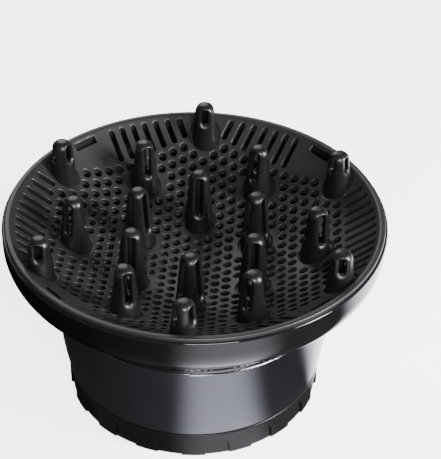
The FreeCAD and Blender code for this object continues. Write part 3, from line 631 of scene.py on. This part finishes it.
graph, (tool, pitch, edge, inner_keep, outer_keep) = geometry_tree("air holes", {
    "Tool": "Object", "Pitch": "Float", "Edge": "Float", "Inner Keep": "Float",
    "Outer Keep": "Float"})
column = pitch * (sqrt(3) / 2)
grid = graph.node("GeometryNodeMeshGrid", inputs={
    "Size X": column * 30, "Size Y": pitch * 28, "Vertices X": 31, "Vertices Y": 29})
x, y, _ = graph.parts(graph.node("GeometryNodeInputPosition"))
odd = (x / column + 0.5).named("FLOOR").named("ABSOLUTE")
odd = odd.math("MODULO", odd, 2)
lattice = graph.node("GeometryNodeSetPosition", inputs={
    "Geometry": grid, "Offset": graph.vector(0.0, odd * pitch * 0.5, 0.0)})
place = graph.node("GeometryNodeInputPosition")
x, y, _ = graph.parts(place)
width = x.named("ABSOLUTE")
slope = width * 0.5 + y.named("ABSOLUTE") * (sqrt(3) / 2)
near = width.math("MAXIMUM", width, slope).over(edge)
for radius, turn, keep in ((INNER_RING, 90, inner_keep), (MIDDLE_RING, 60, inner_keep),
                           (OUTER_RING, 90, outer_keep)):
    apart = distance_to(graph, circle_points(graph, radius * MM, turn), place)
    near = near + (keep - apart).over(0.0)
kept = graph.node("GeometryNodeDeleteGeometry", inputs={"Geometry": lattice, "Selection": near})
holes = graph.node("GeometryNodeInstanceOnPoints", inputs={
    "Points": kept, "Instance": geometry_of(graph, tool)})
close_tree(graph, laid_on_dish(graph, holes), None)
hole_tools = grown("hole_tools", graph, Tool=hole_plug, Pitch=HOLE_PITCH * MM,
                   Edge=(SLOT_START - HOLE_RADIUS) * MM,
                   Inner_Keep=(BASE_RADIUS + SEAT_GAP + LAND + HOLE_RADIUS) * MM,
                   Outer_Keep=(OUTER_BASE_RADIUS + SEAT_GAP + LAND + HOLE_RADIUS) * MM)
print("air holes:", len(hole_tools.data.vertices) // len(hole_plug.data.vertices))

# %% [markdown]
# ## Rim slots
# Towards the rim the rows of holes turn into slots, which run parallel within each sixth of the
# dish. Their outer ends follow a circle, so their lengths differ. Each slot's tool starts as a
# round plug; the half marked "far" is then drawn out to the slot's outer end. Slots too near an
# outer finger or a moulding window are left out.
# %% Rim-slot tree
def stored(graph, geometry, name, value, kind="FLOAT_VECTOR"):
    """Writes a value onto every point, to be read after the points change."""
    inputs = {"Geometry": geometry, "Name": name, "Value": value}
    return graph.node("GeometryNodeStoreNamedAttribute", {"data_type": kind}, inputs)


def recalled(graph, name, kind="FLOAT_VECTOR"):
    return graph.node("GeometryNodeInputNamedAttribute", {"data_type": kind}, {"Name": name})


graph, (tool, pitch, start, end, half, finger_keep, window_keep) = geometry_tree("rim slots", {
    "Tool": "Object", "Pitch": "Float", "Start": "Float", "End": "Float", "Half": "Float",
    "Finger Keep": "Float", "Window Keep": "Float"})
points = on_spot(graph, 66)
number = graph.node("GeometryNodeInputIndex")
sector = ((number + 0.5) / 11).named("FLOOR")
across = (number - sector * 11 - 5) * pitch
turn = sector * (pi / 3)
along_x, along_y = turn.named("COSINE"), turn.named("SINE")
reach = ((end - half) * (end - half) - across * across).named("SQRT")
first = graph.vector(along_x * (start + half) - along_y * across,
                     along_y * (start + half) + along_x * across, 0.0)
last_x = along_x * reach - along_y * across
last_y = along_y * reach + along_x * across
last = graph.vector(last_x, last_y, 0.0)
draw = graph.node("ShaderNodeVectorMath", {"operation": "SUBTRACT"}, {0: last, 1: first})
beside_window = (last_x.named("ABSOLUTE") - last_y.named("ABSOLUTE")).named("ABSOLUTE")
unwanted = (window_keep * sqrt(2) - beside_window).over(0.0)
for place in (first, last):
    apart = distance_to(graph, circle_points(graph, OUTER_RING * MM, 90), place)
    unwanted = unwanted + (finger_keep - apart).over(0.0)
points = stored(graph, points, "first", first)
points = stored(graph, points, "draw", draw)
points = stored(graph, points, "turn", graph.vector(0.0, 0.0, turn))
kept = graph.node("GeometryNodeDeleteGeometry", inputs={"Geometry": points, "Selection": unwanted})
kept = graph.node("GeometryNodeSetPosition", inputs={
    "Geometry": kept, "Position": recalled(graph, "first")})
slots = graph.node("GeometryNodeInstanceOnPoints", inputs={
    "Points": kept, "Instance": geometry_of(graph, tool), "Rotation": recalled(graph, "turn")})
slots = made_real(graph, slots)
drawn = graph.node("ShaderNodeVectorMath", {"operation": "SCALE"}, {
    0: recalled(graph, "draw"), "Scale": recalled(graph, "far", "FLOAT")})
slots = graph.node("GeometryNodeSetPosition", inputs={"Geometry": slots, "Offset": drawn})
close_tree(graph, laid_on_dish(graph, slots), None)
slot_tools = grown("slot_tools", graph, Tool=slot_plug, Pitch=HOLE_PITCH * MM,
                   Start=SLOT_START * MM, End=SLOT_END * MM, Half=SLOT_HALF * MM,
                   Finger_Keep=(OUTER_BASE_RADIUS + SEAT_GAP + LAND + SLOT_HALF) * MM,
                   Window_Keep=(5.65 + SLOT_HALF + 2.5) * MM)
print("rim slots:", len(slot_tools.data.vertices) // len(slot_plug.data.vertices))

# %% [markdown]
# ## Finger seats and moulding windows
# Every finger stands in a shallow round pocket with an open groove round its foot and a soft lip.
# Four plain windows in the rim show where the mould reached through to form the snap hooks. Both
# are placed on circles, which a mesh circle's points give directly.
# %% Seats and windows
SPIGOT_HOLE = 4.3
WINDOW_CIRCLE = 74.8


def seat_plug(name, base):
    pocket = base + SEAT_GAP
    rows = [(SPIGOT_HOLE - pocket, -8), (SPIGOT_HOLE - pocket, -0.8), (0, -0.8)]
    return plug(name, round_section(pocket, 40), rows + lip_rows(0.75, 0.75, 4, 4)[1:])


def on_circle(graph, circle, first_turn, step, tool):
    """Copies of a tool on the points of a circle, each turned to face outwards."""
    turn = graph.node("GeometryNodeInputIndex") * radians(step) + radians(first_turn)
    return graph.node("GeometryNodeInstanceOnPoints", inputs={
        "Points": circle, "Instance": geometry_of(graph, tool),
        "Rotation": graph.vector(0.0, 0.0, turn)})


def repeated(graph, tool, count, first_turn, circle=None):
    """Equally spaced copies as real geometry, turned on the axis or standing on a circle."""
    copies = on_circle(graph, circle or on_spot(graph, count), first_turn, 360 / count, tool)
    return made_real(graph, copies)


graph, (tool, small_tool, window) = geometry_tree("finger seats and windows", {
    "Tool": "Object", "Outer Tool": "Object", "Window": "Object"})
rows = [on_circle(graph, circle_points(graph, INNER_RING * MM, 90), 90, 60, tool),
        on_circle(graph, circle_points(graph, MIDDLE_RING * MM, 60), 60, 60, tool),
        on_circle(graph, circle_points(graph, OUTER_RING * MM, 90), 90, 60, small_tool)]
square = circle_points(graph, WINDOW_CIRCLE * MM, 45, 4)
rows.append(on_circle(graph, square, 45, 90, window))
close_tree(graph, laid_on_dish(graph, graph.node(
    "GeometryNodeJoinGeometry", inputs={"Geometry": rows})), None)
wide_seat = seat_plug("wide_seat", BASE_RADIUS)
small_seat = seat_plug("small_seat", OUTER_BASE_RADIUS)
seat_tools = grown("seat_tools", graph, Tool=wide_seat, Outer_Tool=small_seat,
                   Window=window_plug)
print("seats and windows:", len(seat_tools.data.polygons), "faces")

# %% [markdown]
# ## Snap hooks and the finished dish
# Under each window hangs a hook that snaps under a catch in the shell. The tools are then taken
# from the blank and the hooks joined on, in one last tree with the Manifold solver, which is
# exact and quick on closed shapes.
# %% Hooks and cutting
def prism(name, section, width):
    """A flat (radius, height) outline pushed out to a width across the X axis."""
    shape = bmesh.new()
    ends = [[shape.verts.new((x * MM, side * width / 2 * MM, z * MM)) for x, z in section]
            for side in (-1, 1)]
    joined(shape, *ends)
    shape.faces.new(ends[0])
    shape.faces.new(ends[1])
    return as_object(name, shape)


HOOK_OUTER = 73.5
HOOK_FOOT = RIM - 14.4
under = SPHERE_RADIUS + DISH_WALL
hook = prism("hook", rounded([
    (HOOK_OUTER - 1.9, HOOK_FOOT, 0.3), (HOOK_OUTER, HOOK_FOOT, 0.3),
    (HOOK_OUTER + 1.9, HOOK_FOOT + 1.9, 0.2), (HOOK_OUTER + 1.9, HOOK_FOOT + 2.4, 0.2),
    (HOOK_OUTER, HOOK_FOOT + 2.4, 0), (HOOK_OUTER, sphere_z(HOOK_OUTER, under) + 1.1, 0),
    (HOOK_OUTER - 1.9, sphere_z(HOOK_OUTER - 1.9, under) + 1.1, 0)], 2), 9.4)

graph, (blank, holes, slots, seats, hook_in, finish) = geometry_tree("cut dish", {
    "Blank": "Object", "Holes": "Object", "Slots": "Object", "Seats": "Object",
    "Hook": "Object", "Finish": "Material"})
body = cut(graph, geometry_of(graph, blank),
           [geometry_of(graph, one) for one in (holes, slots, seats)])
hooks = repeated(graph, hook_in, 4, 45)
whole = boolean(graph, "UNION", {"Mesh 2": [body, hooks]})
close_tree(graph, whole, finish)
dish = softened(grown("finger_dish", graph, Blank=dish_blank, Holes=hole_tools,
                      Slots=slot_tools, Seats=seat_tools, Hook=hook,
                      Finish=dish_charcoal.material))
settle(dish, "housing", ["face_dish"],
       [dish_blank, hole_tools, slot_tools, seat_tools, hook, hole_plug, slot_plug,
        window_plug, wide_seat, small_seat])

# %% [markdown]
# ## One finger
# A finger is a slim hollow cone with a round tip. It stands upright, but the dish slopes under
# it, so its foot is cut slantwise. Instead of cutting it, every row of points is worked out from
# the height where the cone meets the seat, which keeps the mesh even.
# %% Finger blank
TIP_RADIUS = 4.25
TIP_ROUND = 3.5
SPIGOT_RADIUS = 4.2
BORE_RADIUS = 2.7
TIP_WALL = 1.2
SEAT_SPHERE = SPHERE_RADIUS + 0.8


class FingerShape:
    """The outline of one finger, on the +X side of the dish."""

    def __init__(self, ring, base, tip):
        self.ring, self.base, self.tip = ring, base, tip
        foot = sphere_z(ring - base, SEAT_SPHERE)
        self.lean = atan2(base - TIP_RADIUS, tip - foot)
        self.round_z = tip - TIP_ROUND
        self.round_x = TIP_RADIUS + TIP_ROUND * tan(self.lean) - TIP_ROUND / cos(self.lean)
        self.straight = self.round_z + TIP_ROUND * sin(self.lean)

    def radius(self, z):
        """Outer radius at a height."""
        if z <= self.straight:
            return TIP_RADIUS + (self.tip - z) * tan(self.lean)
        return self.round_x + sqrt(max(0.0, TIP_ROUND ** 2 - (z - self.round_z) ** 2))

    def foot(self, turn):
        """Height where the cone meets its seat, in one direction."""
        z = sphere_z(self.ring, SEAT_SPHERE)
        for _ in range(6):
            reach = self.radius(z)
            z = sphere_z(hypot(self.ring + reach * cos(turn), reach * sin(turn)), SEAT_SPHERE)
        return z


def finger_blank(name, form, segments=56):
    shape = bmesh.new()
    tail = sphere_z(form.ring - SPIGOT_RADIUS, SPHERE_RADIUS + DISH_WALL) - 1.0
    roof = form.tip - TIP_WALL
    half_bore = BORE_RADIUS / 2
    outside = circle_arc((form.round_x, form.round_z), TIP_ROUND, 90, degrees(form.lean), 8)
    inside = circle_arc((half_bore, roof - half_bore), half_bore, 0, 90, 3)
    columns = []
    for index in range(segments):
        turn = 2 * pi * (index + 0.5) / segments
        foot = form.foot(turn)
        heights = [outside[-1][1] + (foot - outside[-1][1]) * step / 9 for step in range(1, 10)]
        column = outside + [(form.radius(z), z) for z in heights]
        seat = sphere_z(hypot(form.ring + SPIGOT_RADIUS * cos(turn), SPIGOT_RADIUS * sin(turn)),
                        SEAT_SPHERE)
        column += [(SPIGOT_RADIUS, seat), (SPIGOT_RADIUS, tail), (BORE_RADIUS, tail)] + inside
        columns.append([shape.verts.new(((form.ring + r * cos(turn)) * MM, r * sin(turn) * MM,
                                         z * MM)) for r, z in column])
    for one, other in zip(columns, columns[1:] + columns[:1]):
        for corners in zip(one, one[1:], other[1:], other):
            shape.faces.new(corners)
    for end, height in ((0, form.tip), (-1, roof)):
        pole = shape.verts.new((form.ring * MM, 0, height * MM))
        joined(shape, [column[end] for column in columns], [pole])
    return as_object(name, shape)


print("finger shapes are ready")

# %% [markdown]
# ## Finger windows
# Air leaves each finger through three tall windows with wide, soft bevels; the first faces the
# middle of the dish. The cutting tool is wrapped round the cone, so that the bevel is equally
# wide all the way round.
# %% Wrapped tools
def arch(half, bottom, top, steps=8, sides=6):
    """A function that gives an upright outline with round ends.

    Widening lifts the top less than the sides, so that a bevel ends below a finger's tip.
    """
    def points(widening):
        reach = half + widening
        crown = top + widening - reach
        foot = bottom - widening + reach
        turns = [pi * step / steps for step in range(steps + 1)]
        upper = [(reach * cos(turn), crown + (half + widening * 0.45) * sin(turn))
                 for turn in turns]
        lower = [(-reach * cos(turn), foot - reach * sin(turn)) for turn in turns]
        down = [(-reach, crown + (foot - crown) * step / sides) for step in range(1, sides)]
        return upper + down + lower + [(-y, foot + crown - z) for y, z in down]
    return points


def wrapped_tool(name, outline, rows, surface, core=0.0):
    """A closed tool that enters a round surface along +X; rows are (widening, depth)."""
    shape = bmesh.new()
    rings = []
    for widening, depth in rows:
        ring = []
        for y, z in outline(widening):
            reach = surface(z) - depth
            x = sqrt(max(core ** 2, reach ** 2 - y ** 2))
            ring.append(shape.verts.new((x * MM, y * MM, z * MM)))
        rings.append(ring)
    for ring, following in zip(rings, rings[1:]):
        joined(shape, ring, following)
    for ring in (rings[0], rings[-1]):
        middle = sum((one.co for one in ring), Vector()) / len(ring)
        joined(shape, ring, [shape.verts.new(middle)])
    return as_object(name, shape)


BEVEL_ROWS = [(2.3, -1.2), (1.7, 0), (1.4, 0.06), (1.1, 0.17), (0.72, 0.38), (0.38, 0.64),
              (0.12, 0.9), (0, 1.2), (0, 3.6)]
WINDOW_HALF = 1.35
WINDOW_BELOW_TIP = 1.6
print("wrapped tools are ready")

# %% [markdown]
# ## Three rings of six fingers
# One tree cuts the three windows and repeats the finger six times round the dish. It runs once
# for each ring, with its own finger and window, and gives one piece for each ring.
# %% Finger rings
graph, (blank, tool, ring_radius, first_turn, finish) = geometry_tree("finger ring", {
    "Blank": "Object", "Tool": "Object", "Ring Radius": "Float", "First Turn": "Float",
    "Finish": "Material"})
windows = [graph.node("GeometryNodeTransform", inputs={
    "Geometry": geometry_of(graph, tool), "Translation": graph.vector(ring_radius, 0.0, 0.0),
    "Rotation": (0, 0, radians(turn))}) for turn in (180, 300, 60)]
one_finger = cut(graph, geometry_of(graph, blank), windows)
points = on_spot(graph, 6)
turn = graph.node("GeometryNodeInputIndex") * (pi / 3) + first_turn
fingers = graph.node("GeometryNodeInstanceOnPoints", inputs={
    "Points": points, "Instance": one_finger, "Rotation": graph.vector(0.0, 0.0, turn)})
close_tree(graph, fingers, finish)

for ring, radius, base, rise, opening, first in (
        ("inner", INNER_RING, BASE_RADIUS, 0.8, 19.0, 90),
        ("middle", MIDDLE_RING, BASE_RADIUS, 5.3, 14.6, 120),
        ("outer", OUTER_RING, OUTER_BASE_RADIUS, 10.3, 7.4, 90)):
    form = FingerShape(radius, base, RIM + rise)
    blank = finger_blank("finger_blank", form)
    top = form.tip - WINDOW_BELOW_TIP
    tool = wrapped_tool("window_tool", arch(WINDOW_HALF, top - opening, top), BEVEL_ROWS,
                        lambda z: form.radius(min(z, form.tip - 0.8)), 1.2)
    fingers = softened(grown("fingers_" + ring, graph, Blank=blank, Tool=tool,
                             Ring_Radius=radius * MM, First_Turn=radians(first),
                             Finish=finger_black.material), 44.0)
    settle(fingers, "housing",
           ["finger_%s_%d" % (ring, number) for number in range(1, 7)], [blank, tool])

# %% [markdown]
# ## Outer shell
# The glossy bowl is one smooth line: a straight wall, a wide shoulder, a cone and a hollow curve
# into the collar. A mirror finish shows every facet, so the line is turned here with many steps.
# The cone is the straight line that touches both curves; its lean follows from their centres.
# Inside are four catches for the dish's hooks and four posts for the screws.
# %% Shell outline
SHELL_RADIUS = 81.0
SHOULDER_RADIUS = 16.0
SHELL_WALL = 2.0
NECK_FILLET = 8.5
COLLAR_RADIUS = 58.5
TUBE_RADIUS = 53.5
TUBE_BORE = 50.8
TUBE_FOOT = 5.3
POST_CIRCLE = 48.8
POST_TURN = 28
FLANGE_FOOT = RIM - FLANGE_THICKNESS
shoulder = Vector((SHELL_RADIUS - SHOULDER_RADIUS, RIM - 7.0))
hollow = Vector((COLLAR_RADIUS + NECK_FILLET, 47.6))
between = shoulder - hollow
lean = atan2(between.y, between.x) - asin((SHOULDER_RADIUS + NECK_FILLET) / between.length)
cone_turn = degrees(lean) - 90
outer_line = circle_arc((80.2, FLANGE_FOOT - 0.8), 0.8, 90, 0, 6)
outer_line += circle_arc(shoulder, SHOULDER_RADIUS, 0, cone_turn, 28)
outer_line += circle_arc(hollow, NECK_FILLET, cone_turn + 180, 165, 12)
tube_line = [(58.79, 49.8), (TUBE_RADIUS, 49.8), (TUBE_RADIUS, 12.4), (52.5, 12.4),
             (52.5, 7.5), (TUBE_RADIUS, 7.5), (TUBE_RADIUS, TUBE_FOOT), (TUBE_BORE, TUBE_FOOT),
             (TUBE_BORE, 53.8)]
inner_line = circle_arc(shoulder, SHOULDER_RADIUS - SHELL_WALL, cone_turn, 0, 12)
shell_blank = turned("shell_blank", outer_line + tube_line + inner_line
                     + [(SHELL_RADIUS - SHELL_WALL, FLANGE_FOOT)], 288)
catch = prism("catch", [(73.7, RIM - 11.8), (79.2, RIM - 11.8), (79.77, RIM - 9.6),
                        (73.7, RIM - 9.6)], 13.0)
post = turned("post", [(1.0, TUBE_FOOT), (2.6, TUBE_FOOT), (2.6, 40.0), (1.0, 40.0)], 24)
print("cone leans", round(degrees(lean), 1), "degrees")

# %% [markdown]
# The turned line, the catches and the posts are joined into one closed shape.
# %% Shell tree
graph, (blank, catch_in, post_in, finish) = geometry_tree("outer shell", {
    "Blank": "Object", "Catch": "Object", "Post": "Object", "Finish": "Material"})
catches = repeated(graph, catch_in, 4, 45)
post_places = circle_points(graph, POST_CIRCLE * MM, POST_TURN, 4)
posts = repeated(graph, post_in, 4, POST_TURN, post_places)
whole = boolean(graph, "UNION", {"Mesh 2": [geometry_of(graph, blank), catches, posts]})
close_tree(graph, whole, finish)
shell = softened(grown("gloss_shell", graph, Blank=shell_blank, Catch=catch, Post=post,
                       Finish=shell_gloss_black.material), 30.0)
settle(shell, "housing", ["outer_shell"], [shell_blank, catch, post])

# %% [markdown]
# ## Lock ring
# The ring at the foot turns by hand and closes the clamp. Seventeen arch-topped recesses give the
# thumb a hold. A tall arch is pushed into the wall and stopped by a core, so that the floor of
# each recess stays round. Eight spiral slots in the floor drive the vanes of the clamp; their path
# follows from the vane's lever, so it is worked out here from the same lengths.
# %% Lock ring tools
RING_RADIUS = 55.9
RING_TOP = 12.0
RECESSES = 17
RECESS_HALF = RING_RADIUS * sin(radians(0.49 * 360 / RECESSES / 2))
RECESS_LIP = [(0.30, -2.0), (0.30, 0.0), (0.15, 0.05), (0.05, 0.14), (0.0, 0.30), (0.0, 3.0)]
PIVOT_RADIUS = 44.0
LEVER = 10.0
VANE_RATIO = 0.9


def drive_point(turn):
    """Where a drive pin stands in the ring when the ring has turned this many degrees."""
    swing = radians(turn * VANE_RATIO)
    x = PIVOT_RADIUS - LEVER * sin(swing)
    y = LEVER * cos(swing)
    angle = atan2(y, x) - radians(turn)
    return Vector((hypot(x, y) * cos(angle), hypot(x, y) * sin(angle)))


def slot_section(reach):
    """The outline of a spiral slot, as a function for plug()."""
    def points(widening):
        wide = reach + widening
        left, right = [], []
        for step in range(17):
            turn = -1 + 2 * step
            along = (drive_point(turn + 1) - drive_point(turn - 1)).normalized()
            across = Vector((-along.y, along.x)) * wide
            left.append(drive_point(turn) + across)
            right.append(drive_point(turn) - across)
            if step == 0:
                back_end = along
        tips = []
        for place, away in ((drive_point(31), along), (drive_point(-1), -back_end)):
            start = Vector((-away.y, away.x)) * wide
            for step in range(1, 7):
                spoke = start.copy()
                spoke.rotate(Matrix.Rotation(-pi * step / 7, 2))
                tips.append(place + spoke)
        return [tuple(point) for point in left + tips[:6] + right[::-1] + tips[6:]]
    return points


slot_rows = [(0.3, -5.0), (0.3, 0.0), (0.09, 0.09), (0.0, 0.3), (0.0, 2.4), (0.09, 2.61),
             (0.3, 2.7), (0.3, 5.0)]
ring_blank = turned("ring_blank", rounded([
    (36.4, 0, 0.6), (RING_RADIUS, 0, 0.6), (RING_RADIUS, RING_TOP, 0.6), (53.9, RING_TOP, 0.2),
    (53.9, 10.3, 0.2), (52.9, 10.3, 0.2), (52.9, 7.9, 0.2), (53.9, 7.9, 0), (53.9, 2.7, 0),
    (36.4, 2.7, 0.6)]), 306)
ring_core = turned("ring_core", [(0, -8), (54.9, -8), (54.9, 14), (0, 14)], 306)
arch_tool = wrapped_tool("arch_tool", arch(RECESS_HALF, -4.0 - RECESS_HALF, 9.6, 14, 4),
                         RECESS_LIP, lambda z: RING_RADIUS)
spiral_tool = plug("spiral_tool", slot_section(1.85), slot_rows)
print("recess", round(2 * RECESS_HALF, 2), "mm wide")

# %% [markdown]
# The core is taken from the arches first, and the arches and spirals then from the ring.
# %% Lock ring tree
graph, (blank, core, tool, spiral, finish) = geometry_tree("lock ring", {
    "Blank": "Object", "Core": "Object", "Arch": "Object", "Spiral": "Object",
    "Finish": "Material"})
arches = repeated(graph, tool, RECESSES, -76)
pockets = cut(graph, arches, [geometry_of(graph, core)])
spirals = repeated(graph, spiral, 8, 0)
close_tree(graph, cut(graph, geometry_of(graph, blank), [pockets, spirals]), finish)
ring = softened(grown("grip_ring", graph, Blank=ring_blank, Core=ring_core, Arch=arch_tool,
                      Spiral=spiral_tool, Finish=ring_black.material), 34.0)
settle(ring, "lock_ring", ["lock_ring"],
       [ring_blank, ring_core, arch_tool, spiral_tool])

# %% [markdown]
# ## Parts that keep their designed shape
# The sleeve, the clamp and the fixings already have their right shape in the designed model, with
# exact normals, so only their finish is changed.
# %% Finishes for the designed parts
KEPT = {"neck_sleeve": sleeve_satin_graphite,
        "lower_carrier": inner_black, "upper_carrier": inner_black, "pivot_pins": pin_steel,
        "lower_carrier_screws": screw_steel, "upper_carrier_screws": screw_steel}
for number in range(1, 9):
    KEPT["grip_vane_%d" % number] = vane_black
    KEPT["grip_pad_%d" % number] = pad_rubber
for name, finish in KEPT.items():
    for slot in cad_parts[name].material_slots:
        slot.material = finish.material
print("parts with a new finish:", len(KEPT))

# %% [markdown]
# ## Floor and studio light
# Black gloss shows only what it reflects, so the light is built from large soft panels and one
# painted card. Seen from above, the shell and the sleeve mirror the floor round them. The card
# lies on it, unseen by the camera: dark, with a few soft bright lobes, which become the bright
# bands on the sleeve and the shell. The floor gives off light too, but under the lock ring its
# glow is painted dark, a painted shade that keeps the holes of the dish dark.
# %% Floor, panels and cards
def flat_shape(name, points):
    """A flat face through (x, y, z) points in metres."""
    shape = bmesh.new()
    shape.faces.new([shape.verts.new(point) for point in points])
    mesh = bpy.data.meshes.new(name)
    shape.to_mesh(mesh)
    shape.free()
    made = linked(name, mesh)
    return made


THROAT_DARK = 50
THROAT_LIT = 55
CARD_RADIUS = 2.0
floor_paper = new_material("floor_paper")
graph = Graph(floor_paper.node_tree)
x, y, _ = graph.parts(graph.node("ShaderNodeTexCoord", output="Object"))
# Painted shade: the floor's glow fades to black under the lock ring, where the diffuser's throat
# is in shade.
unshaded_share = (x * x + y * y).named("SQRT").smooth(THROAT_DARK * MM, THROAT_LIT * MM)
floor_glow = graph.node("ShaderNodeCombineColor", inputs={0: unshaded_share, 1: unshaded_share, 2: unshaded_share})
paper = graph.tree.nodes["Principled BSDF"].inputs
graph.tree.links.new(floor_glow.socket, paper["Emission Color"])
for socket, value in (("Base Color", (0.90, 0.90, 0.90, 1)), ("Roughness", 0.9),
                      ("Emission Strength", 3.6)):
    paper[socket].default_value = value
floor = flat_shape("floor", [(-4, -4, 0), (4, -4, 0), (4, 4, 0), (-4, 4, 0)])
floor.data.materials.append(floor_paper)
floor.visible_diffuse = False


def lobe(graph, place, azimuth, wide, narrow):
    """1 towards one direction on the floor, fading to 0 at the wide angle from it."""
    x, y, _ = graph.parts(place)
    reach = (x * x + y * y).named("SQRT")
    toward = (x * cos(radians(azimuth)) + y * sin(radians(azimuth))) / reach
    return toward.smooth(cos(radians(wide)), cos(radians(narrow)))


card_paint = new_material("card_paint")
graph = Graph(card_paint.node_tree)
graph.tree.nodes.remove(graph.tree.nodes["Principled BSDF"])
place = graph.node("ShaderNodeTexCoord", output="Object")
front = lobe(graph, place, -71, 32, 0)
glow = (front * front * 2.6 + lobe(graph, place, -71, 75, 0) * 0.14
        + lobe(graph, place, 20, 34, 4) * 7.0 + 0.004)
light = graph.node("ShaderNodeEmission", inputs={"Color": (0.93, 0.93, 1.0, 1), "Strength": glow})
graph.tree.links.new(light.socket, graph.tree.nodes["Material Output"].inputs["Surface"])
card = flat_shape("floor_card", [(*point, 0.0005) for point in circle_arc(
    (0, 0), CARD_RADIUS, 0, 360, 64)[:-1]])
card.data.materials.append(card_paint)
for rays in ("camera", "shadow", "diffuse", "transmission"):
    setattr(card, "visible_" + rays, False)


LIGHT_TARGET = Vector((0, 0, 0.07))


def panel(name, place, size, power, height=None):
    """A soft light panel that looks at the middle of the diffuser."""
    light = bpy.data.lights.new(name, "AREA")
    light.shape = "RECTANGLE"
    light.size = size
    light.size_y = height or size
    light.energy = power
    made = linked(name, light)
    made.location = place
    made.rotation_euler = (LIGHT_TARGET - Vector(place)).to_track_quat("-Z", "Y").to_euler()


world = bpy.data.worlds.new("studio")
bpy.context.scene.world = world
world.use_nodes = True
sky = world.node_tree.nodes["Background"].inputs
sky["Color"].default_value = (1, 1, 1, 1)
sky["Strength"].default_value = 0.16
panel("front panel", (0.16, -0.68, 0.62), 0.36, 8.0)
panel("right panel", (0.70, -0.25, 0.42), 0.20, 17.0, height=0.45)
panel("back panel", (-0.20, 0.80, 0.60), 0.50, 2.5)
